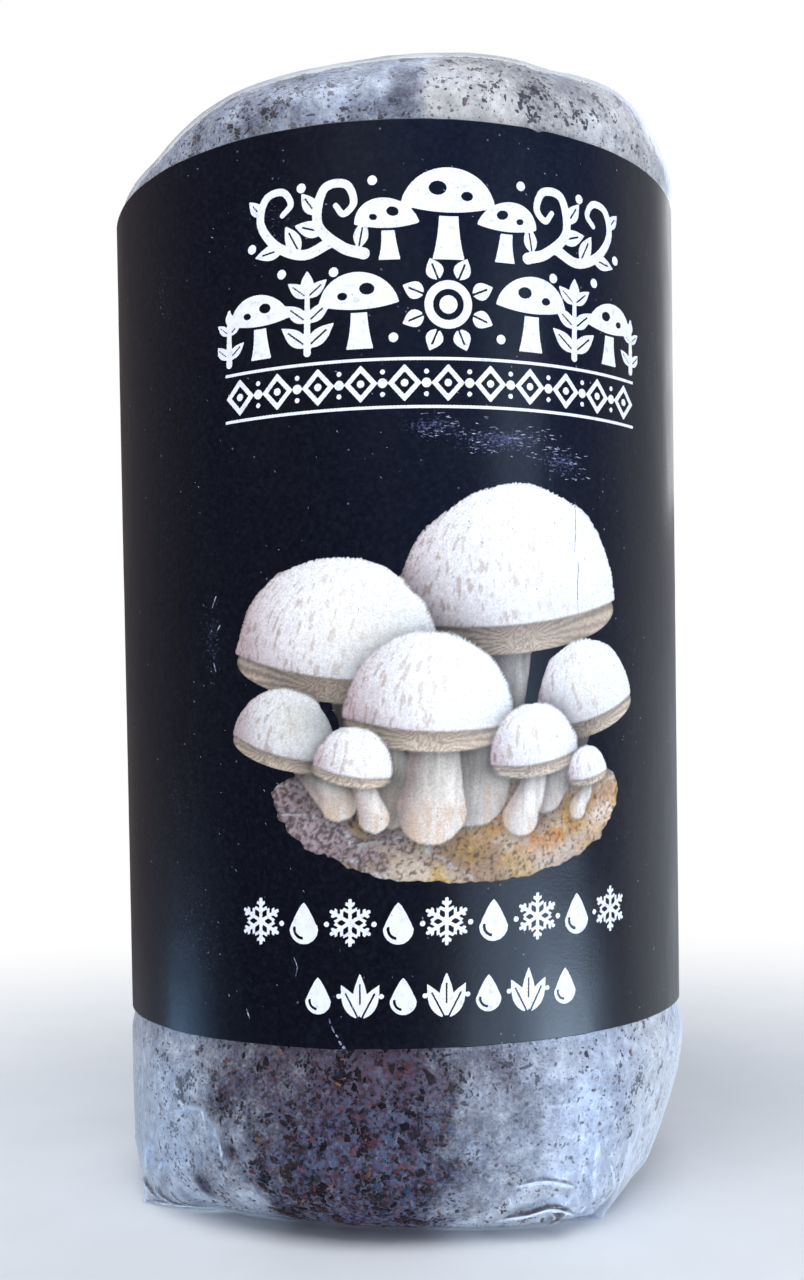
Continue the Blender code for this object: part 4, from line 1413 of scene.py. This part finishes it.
# Each mushroom in mm: cap middle (x, z), half width, height, lean in degrees, foot (x, z), stem width
MUSHROOMS = (
    ((15.0, 128.0), 25.0, 24.0, -6.0, (5.0, 92.0), 11.0),
    ((-23.0, 117.5), 21.5, 20.5, 8.0, (-11.0, 91.0), 9.5),
    ((32.5, 107.5), 13.5, 14.0, -15.0, (21.0, 91.0), 6.4),
    ((-34.0, 101.0), 11.5, 11.5, 15.0, (-21.5, 90.0), 5.8),
    ((-3.5, 106.0), 17.0, 17.0, 3.0, (-3.0, 88.0), 10.0),
    ((19.0, 98.0), 10.0, 10.5, -8.0, (15.5, 86.0), 5.6),
    ((-19.0, 96.0), 8.0, 8.4, 10.0, (-14.5, 86.5), 4.4),
    ((32.0, 94.0), 5.4, 5.8, -10.0, (29.0, 87.0), 3.0),
)
LIGHT_FROM = np.array((0.42, 0.62, 0.66))
CAP_LIT = np.array((1.0, 0.975, 0.965))
CAP_DIM = np.array((0.40, 0.26, 0.27))
CAP_GAPS = np.array((0.78, 0.96, 1.04))
CAP_FLUSH = np.array((1.0, 0.955, 0.87))
GILL = np.array((0.98, 0.77, 0.60))
# How far the gills' wave runs over half a turn, in radians
GILL_WAVE = 150.0
STEM_LIT = np.array((1.0, 0.90, 0.80))
STEM_DIM = np.array((0.38, 0.26, 0.23))
# The wood's colours: tan, pale, orange, ochre, mauve and its dark specks
WOOD = ((0.72, 0.45, 0.28), (0.92, 0.72, 0.56), (1.0, 0.40, 0.07), (0.90, 0.55, 0.13), (0.66, 0.50, 0.56),
        (0.12, 0.065, 0.045))


class Painting:
    """Colours painted over a flat grid, and the field that is above 0 wherever something was painted."""

    def __init__(self, x, z):
        self.x, self.z = x, z
        self.colour = np.zeros((*x.shape, 3))
        self.field = np.full(x.shape, -9.0)

    def noise(self, spacing, layers=3, seed=0.0, stretch=(1.0, 1.0)):
        flat = np.stack([self.x * stretch[0], self.z * stretch[1], np.full(self.x.shape, seed)], -1)
        return noise_at(flat, spacing, layers)

    def lay(self, field, colour, shadow=0.0, reach=2.2):
        """Paints a shape over what is there, after darkening what lies just outside it."""
        near = shadow * np.exp(-np.maximum(0.0, -field) / reach)
        mask = smooth_step(0.5 + field / 0.5)[..., None]
        under = self.colour * (1.0 - near)[..., None]
        self.colour = under + (colour - under) * mask
        self.field = np.maximum(self.field, field)


def lit(normals, bright, dim, ambient=0.26):
    """A colour between dim and bright by how much the surface faces the light."""
    light = LIGHT_FROM / np.linalg.norm(LIGHT_FROM)
    share = ambient + (1.0 - ambient) * np.clip(normals @ light, 0.0, 1.0)
    return dim + (bright - dim) * smooth_step(share)[..., None]


def blend(colour, other, share):
    return colour + (other - colour) * np.clip(share, 0.0, 1.0)[..., None]


def paint_wood(art, fine):
    """The wood that the mushrooms grow from: a rough-edged lens, speckled and stained orange."""
    side, up = (art.x - 3.0) / 38.0, (art.z - 91.0) / 18.0
    wobble = 0.05 * art.noise(9.0, 3, seed=21.0) + 0.02 * art.noise(2.0, 2, seed=23.0)
    field = (1.0 + wobble - np.hypot(side, np.where(up > 0.0, up * 1.9, up))) * 14.0
    depth = np.sqrt(np.clip(1.0 - side**2 - up**2, 0.0, 1.0))
    normals = np.stack([side * 0.8, depth, up], -1)
    tan, pale, orange, ochre, mauve, dark = (np.array(colour) for colour in WOOD)
    grain = art.noise(6.0, 4, seed=31.0, stretch=(0.45, 1.1))
    colour = blend(np.broadcast_to(tan, (*art.x.shape, 3)), pale, smooth_step(0.5 + 1.3 * grain))
    colour = blend(colour, ochre, 0.7 * smooth_step(0.3 + 1.8 * art.noise(8.0, 3, seed=35.0)))
    left = smooth_step((-6.0 - art.x) / 14.0 + 0.7 * art.noise(6.0, 3, seed=39.0))
    colour = blend(colour, mauve, 0.85 * left)
    stained = np.exp(-(((art.x - 20.0) / 13.0) ** 2) - ((art.z - 84.5) / 5.0) ** 2)
    colour = blend(colour, orange, 1.3 * stained * smooth_step(0.55 + 1.4 * art.noise(5.0, 3, seed=37.0)))
    strand = np.abs(art.noise(13.0, 3, seed=43.0, stretch=(0.7, 1.3)))
    threads = 0.9 * (1.0 - smooth_step(strand / 0.07)) * smooth_step(0.9 - art.x / 26.0)
    colour = blend(colour, CAP_LIT * 0.95, threads)
    speck = smooth_step((art.noise(0.8, 2, seed=41.0) - 0.22 + 0.25 * left) / 0.25)
    colour = blend(colour, dark, 0.75 * speck)
    light = 0.42 + 0.80 * lit(normals, np.ones(3), np.zeros(3))
    art.lay(field, colour * light * (1.0 + 0.30 * fine + 0.25 * grain)[..., None])


def paint_stem(art, cap, height, foot, width, fine):
    """A fibrous stem, soiled at its foot and shaded under its cap."""
    bend = (0.5 * (foot[0] + cap[0]) + 0.8, 0.5 * (foot[1] + cap[1]))
    path = smooth_path((foot, bend, (cap[0], cap[1] + 0.2 * height)), 14)
    away, share = stroke_distance(art.x, art.z, path)
    middle = np.interp(art.z, path[:, 1], path[:, 0])
    half = 0.5 * width * (1.15 - 0.3 * share + 0.25 * (1.0 - share) ** 3)
    side = np.clip((art.x - middle) / half, -1.0, 1.0)
    normals = np.stack([side, np.sqrt(1.0 - side**2), np.zeros_like(side)], -1)
    fibres = art.noise(1.1, 3, seed=foot[0], stretch=(1.0, 0.10))
    colour = lit(normals, STEM_LIT, STEM_DIM) * (1.0 + 0.34 * fibres + 0.10 * fine)[..., None]
    under_cap = np.exp(-np.maximum(0.0, cap[1] - art.z) / (0.30 * height))
    soiled = np.exp(-share / 0.10) * smooth_step(0.5 + 1.4 * fibres)
    colour = blend(colour, np.array(WOOD[0]) * 0.8, 0.6 * soiled)
    art.lay(half - away + 0.25 * fibres, colour * (1.0 - 0.60 * under_cap)[..., None], shadow=0.62)


def paint_cap(art, cap, half, height, lean, fine):
    """A domed cap with shaggy fibres that run down from its top, over a band of gills."""
    cosine, sine = math.cos(math.radians(lean)), math.sin(math.radians(lean))
    x, z = art.x - cap[0], art.z - cap[1]
    side, up = (x * cosine - z * sine) / half, (x * sine + z * cosine) / height
    belly = 0.26
    near = np.hypot(side, up) < 1.4
    latitude = np.arcsin(np.clip(up, -0.98, 0.98))
    longitude = np.arcsin(np.clip(side / np.cos(latitude), -1.0, 1.0))
    flat = np.stack([longitude * 0.80 * half, latitude * 0.30 * height, np.full_like(side, cap[0])], -1)
    shag = np.zeros_like(side)
    shag[near] = noise_at(flat[near], 1.0, 3)

    wobble = 1.0 + 0.03 * art.noise(0.5 * half, 2, seed=cap[0]) + 0.022 * shag
    reach = np.hypot(side, np.where(up > 0.0, up, up / belly)) / wobble
    angle = np.arctan2(up + 0.3, side)
    gills = 0.5 + 0.5 * np.sin(angle * GILL_WAVE / math.pi + 1.5 * fine)
    gill_field = (1.0 - np.hypot(side / 0.97, (up + 0.10) / (belly * 1.15))) * belly * height
    gill_light = 0.34 + 0.42 * gills + 0.30 * np.clip(side + 0.4, 0.0, 1.0)
    art.lay(gill_field, GILL * gill_light[..., None], shadow=0.75, reach=0.16 * half)

    below = (up + 0.16 * (1.0 - 0.8 * side**2)) * 1.2
    edge = np.where(up > 0.0, 1.0 - reach, np.minimum(1.0 - reach, below))
    depth = np.sqrt(np.clip(1.0 - side**2 - np.clip(up, -0.2, 1.0) ** 2, 0.0, 1.0))
    normals = np.stack([side + 0.22 * shag, depth, up + 0.12], -1)
    normals /= np.maximum(np.linalg.norm(normals, axis=-1, keepdims=True), 1e-6)
    colour = lit(normals, CAP_LIT, CAP_DIM)
    flush = np.exp(-((side - 0.15) ** 2 + (up - 0.45) ** 2) / 0.20)
    colour = colour * (1.0 - flush[..., None] * (1.0 - CAP_FLUSH))
    dimmer = np.clip(0.55 - 0.9 * side - 0.3 * up, 0.0, 1.0)
    gaps = smooth_step((shag - 0.10) / 0.40) * (0.10 + 0.42 * dimmer)
    colour = colour * (1.0 + 0.07 * shag + 0.08 * fine)[..., None] * (1.0 - gaps[..., None] * CAP_GAPS)
    rim = np.exp(-(((1.0 - reach) / 0.045) ** 2)) * (up < 0.25)
    colour = blend(colour, CAP_LIT, 0.35 * rim * (side > -0.7))
    art.lay(edge * 0.8 * height, colour, shadow=0.60, reach=0.14 * half)


def add_picture():
    """The printed picture, cut out along what is painted."""
    art = Painting(*flat_grid(-48.0, 48.0, 70.0, 155.0, 0.32))
    fine = art.noise(0.9, 3, seed=7.0)
    paint_wood(art, fine)
    for cap, half, height, lean, foot, width in MUSHROOMS:
        paint_stem(art, cap, height, foot, width, fine)
        paint_cap(art, cap, half, height, lean, fine)
    points, faces, (first, second, share) = cut_out(art.x, art.z, art.field)
    picture = new_object("print_picture", wrapped(points, PICTURE_LIFT), faces, [picture_material()])
    colours = np.clip(art.colour.reshape(-1, 3), 0.0, 1.0)
    colours = colours[first] + (colours[second] - colours[first]) * share[:, None]
    give(picture, "print_colour", colours)


# The patch and the tape


# In millimetres: the patch's grid, its pressed border, and the pitch of the border's dots
PATCH_GRID = 0.22
PATCH_BORDER = 2.2
EMBOSS_PITCH = 1.1
# In metres: how high the dots stand, and how far the middle is puffed
EMBOSS_HEIGHT = 0.00004
PATCH_PUFF = 0.00026
# How far the pressed fleece lies under the CAD patch's face, and its own thickness
PATCH_SUNK = 0.00030
PATCH_SKIN = 0.00018


def add_filter_patch():
    """A square of fleece, puffed inside its pressed and embossed border."""
    half = 0.5 * PATCH_SIZE / MM
    corner = PATCH_CORNER / MM
    x, y = flat_grid(-half - 0.2, half + 0.2, -half - 0.2, half + 0.2, PATCH_GRID)
    beyond_x, beyond_y = np.abs(x) - half + corner, np.abs(y) - half + corner
    outside = np.hypot(np.maximum(beyond_x, 0.0), np.maximum(beyond_y, 0.0))
    field = corner - outside - np.minimum(0.0, np.maximum(beyond_x, beyond_y))
    points, faces, _ = cut_out(x, y, field)
    inward = half - np.abs(points).max(axis=1)
    sealed = 1.0 - smooth_step((inward - PATCH_BORDER) / 0.7)
    dots = np.sin(points * 2 * math.pi / EMBOSS_PITCH).prod(axis=1)
    soft = noise_at(np.column_stack([points, np.zeros(len(points))]), 1.6, 2)
    embossed = EMBOSS_HEIGHT * sealed * smooth_step(dots * 2.0)
    relief = (PATCH_PUFF + 0.00003 * soft) * (1.0 - sealed) + embossed
    top = FLAP_HALF_DEPTH + FILM + GAP + PATCH_THICKNESS - PATCH_SUNK + relief
    middle = FLAP_BEND * math.radians(FLAP_LEAN) + PATCH_PLACE
    placed = flap_points(PATCH_SIDE + points[:, 0] * MM, -top, middle + points[:, 1] * MM)
    patch = new_object("fleece_patch", placed, faces, [fleece_material()])
    give(patch, "sealed", sealed)
    thicken(patch, PATCH_SKIN, offset=-1.0)
    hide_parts("filter_patch")


TAPE_ROWS = 60
TAPE_COLUMNS = 30
TEETH = 12


def add_tape():
    """The strip over the mouth and down the shoulder's back, with the dispenser's teeth at both ends."""
    surface = FLAP_HALF_DEPTH + FILM + GAP
    sides = TAPE_SIDE + np.linspace(-0.5, 0.5, TAPE_COLUMNS) * TAPE_WIDTH
    headings = PANEL_HEADING + 180.0 - np.degrees((sides + NECK_SHIFT) / BLOCK_RADIUS)
    stops = [flap_end() - TAPE_ON_FLAP, flap_end() - TAPE_ON_FLAP / 2, flap_end() + FILM]
    knots = [flap_points(sides, np.full_like(sides, -surface), np.full_like(sides, stop)) for stop in stops]
    lift = GAP + FILM + 2 * GAP
    knots += [form_row(headings, "shoulder", step, lift=lift) for step in (0.8, 0.6, 0.4, 0.2)]
    knots = np.array(knots)
    last = len(knots) - 1.0
    steps = np.linspace(0.0, last, TAPE_ROWS)
    teeth = np.abs((np.linspace(0.0, TEETH, TAPE_COLUMNS) % 1.0) - 0.5) * 2.0
    points = np.empty((TAPE_ROWS, TAPE_COLUMNS, 3))
    for column, tooth in enumerate(teeth):
        path = smooth_path(knots[:, column], TAPE_ROWS)
        trimmed = np.linspace(0.10 * tooth, last - 0.12 * tooth, TAPE_ROWS)
        points[:, column] = np.stack([np.interp(trimmed, steps, path[:, axis]) for axis in range(3)], 1)
    film = clear_film("clear_tape", haze=0.11, dust=0.22, tint=(0.96, 0.93, 0.86), rough=(0.06, 0.16))
    flat = points.reshape(-1, 3)
    tape = new_object("tape_strip", flat, grid_faces(TAPE_ROWS, TAPE_COLUMNS), [film])
    bubbles = smooth_step((noise_at(flat, 0.0045, 2, seed=17.0) - 0.25) / 0.2)
    give(tape, "creased", 0.5 * bubbles)
    face = tape.data.polygons[0]
    if face.normal.dot(face.center - Vector((0.0, 0.0, BLOCK_TOP / 2))) < 0.0:
        tape.data.flip_normals()
    thicken(tape, TAPE)
    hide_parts("closing_tape")


# The studio


# Soft lights: name, azimuth (0 in front, 90 to the right), distance, height, size, radiance, colour
LIGHTS = (
    ("right_low", 63.0, 0.60, -0.15, (0.32, 0.20), 7.0, (0.58, 0.76, 1.0)),
    ("right_spread", 47.0, 0.60, -0.13, (0.58, 0.30), 2.8, (0.58, 0.76, 1.0)),
    ("right_tall", 45.0, 0.62, 0.17, (0.20, 0.42), 1.5, (0.55, 0.72, 1.0)),
    ("left_low", -96.0, 0.60, -0.15, (0.22, 0.20), 2.7, (0.32, 0.60, 1.0)),
    ("foot_fill", -5.0, 0.28, -0.50, (1.10, 0.36), 5.5, (0.70, 0.86, 1.0)),
    ("overhead", -15.0, 0.55, 1.30, (1.10, 0.90), 4.2, (0.87, 0.93, 1.0)),
    ("back_fill", 160.0, 1.20, 0.70, (1.00, 0.70), 1.2, (0.95, 0.97, 1.0)),
)
# This one lights from below and isn't seen in the gloss
NOT_IN_GLOSS = "foot_fill"
LIT_POINT = Vector((0.0, 0.0, 0.10))
FLOOR_REACH = 4.0
BACKDROP = (1.0, 1.0, 1.0)
AMBIENT = (0.40, 0.44, 0.52)
# What reflections show of the room: in front, low and high, and behind the block on both sides
GLOSS_LOW = (0.010, 0.012, 0.022)
GLOSS_HIGH_LEFT = (0.045, 0.045, 0.10)
GLOSS_HIGH = (0.08, 0.16, 0.40)
GLOSS_LEFT_LOW = (0.28, 0.31, 0.36)
GLOSS_LEFT = (0.145, 0.125, 0.125)
GLOSS_RIGHT_LOW = (0.61, 0.65, 0.71)
GLOSS_RIGHT = (0.42, 0.43, 0.46)


def add_lights():
    """Large soft lights. The ones below the floor light through it, as it casts no shadow."""
    for name, azimuth, distance, height, (width, tall), radiance, colour in LIGHTS:
        light = bpy.data.lights.new(name, "AREA")
        light.shape = "RECTANGLE"
        light.size, light.size_y = width, tall
        light.energy = radiance * math.pi * width * tall
        light.color = colour
        obj = bpy.data.objects.new(name, light)
        obj.location = at_heading(azimuth, distance, height).tolist()
        obj.rotation_euler = (LIT_POINT - obj.location).to_track_quat("-Z", "Y").to_euler()
        obj.visible_glossy = name != NOT_IN_GLOSS
        bpy.context.scene.collection.objects.link(obj)


def add_world():
    """A white backdrop that lights softly. In reflections it is a dim room, paler above and behind."""
    world = bpy.data.worlds.new("studio")
    bpy.context.scene.world = world
    world.use_nodes = True
    nodes = Nodes(world.node_tree)
    direction = nodes.made("TexCoord", output="Generated")
    x, y, z = (nodes.axis(direction, name) for name in "XYZ")
    high = nodes.mix(nodes.spread(x, -0.65, 0.15), GLOSS_HIGH_LEFT, GLOSS_HIGH)
    ahead = nodes.mix(nodes.spread(z, -0.12, 0.38), GLOSS_LOW, high)
    left = nodes.mix(nodes.spread(z, -0.30, -0.10), GLOSS_LEFT_LOW, GLOSS_LEFT)
    right = nodes.mix(nodes.spread(z, -0.06, 0.14), GLOSS_RIGHT_LOW, GLOSS_RIGHT)
    behind = nodes.mix(nodes.spread(x, -0.5, 0.6), left, right)
    gloss = nodes.mix(nodes.spread(y, -0.25, 0.40), ahead, behind)
    unseen = nodes.mix(nodes.made("LightPath", output="Is Glossy Ray"), AMBIENT, gloss)
    seen = nodes.mix(nodes.made("LightPath", output="Is Camera Ray"), unseen, BACKDROP)
    nodes.put(world.node_tree.nodes["Background"].inputs["Color"], seen)


def add_floor():
    reach = FLOOR_REACH
    mesh = bpy.data.meshes.new("floor")
    corners = [(-reach, -reach, 0.0), (reach, -reach, 0.0), (reach, reach, 0.0), (-reach, reach, 0.0)]
    mesh.from_pydata(corners, [], [(0, 1, 2, 3)])
    mesh.materials.append(floor_material())
    floor = bpy.data.objects.new("floor", mesh)
    bpy.context.scene.collection.objects.link(floor)
    floor.visible_glossy = False
    floor.visible_shadow = False


def add_camera():
    camera = bpy.data.cameras.new("camera")
    camera.lens = CAMERA_LENS
    camera.shift_y = CAMERA_SHIFT
    camera.clip_start = 0.01
    obj = bpy.data.objects.new("camera", camera)
    obj.location = CAMERA_PLACE
    obj.rotation_euler = Euler((math.pi / 2, CAMERA_ROLL, 0.0))
    bpy.context.scene.collection.objects.link(obj)
    bpy.context.scene.camera = obj


bpy.context.scene.view_settings.view_transform = "Standard"
add_camera()
add_world()
add_lights()
add_floor()
grid, cover, normals = add_block(round_headings(300, 130))
add_flecks(grid, cover, normals)
film = add_bag(round_headings(250, 110))
add_painted_folds(film)
add_label()
add_print()
add_picture()
add_scuffs()
add_filter_patch()
add_tape()
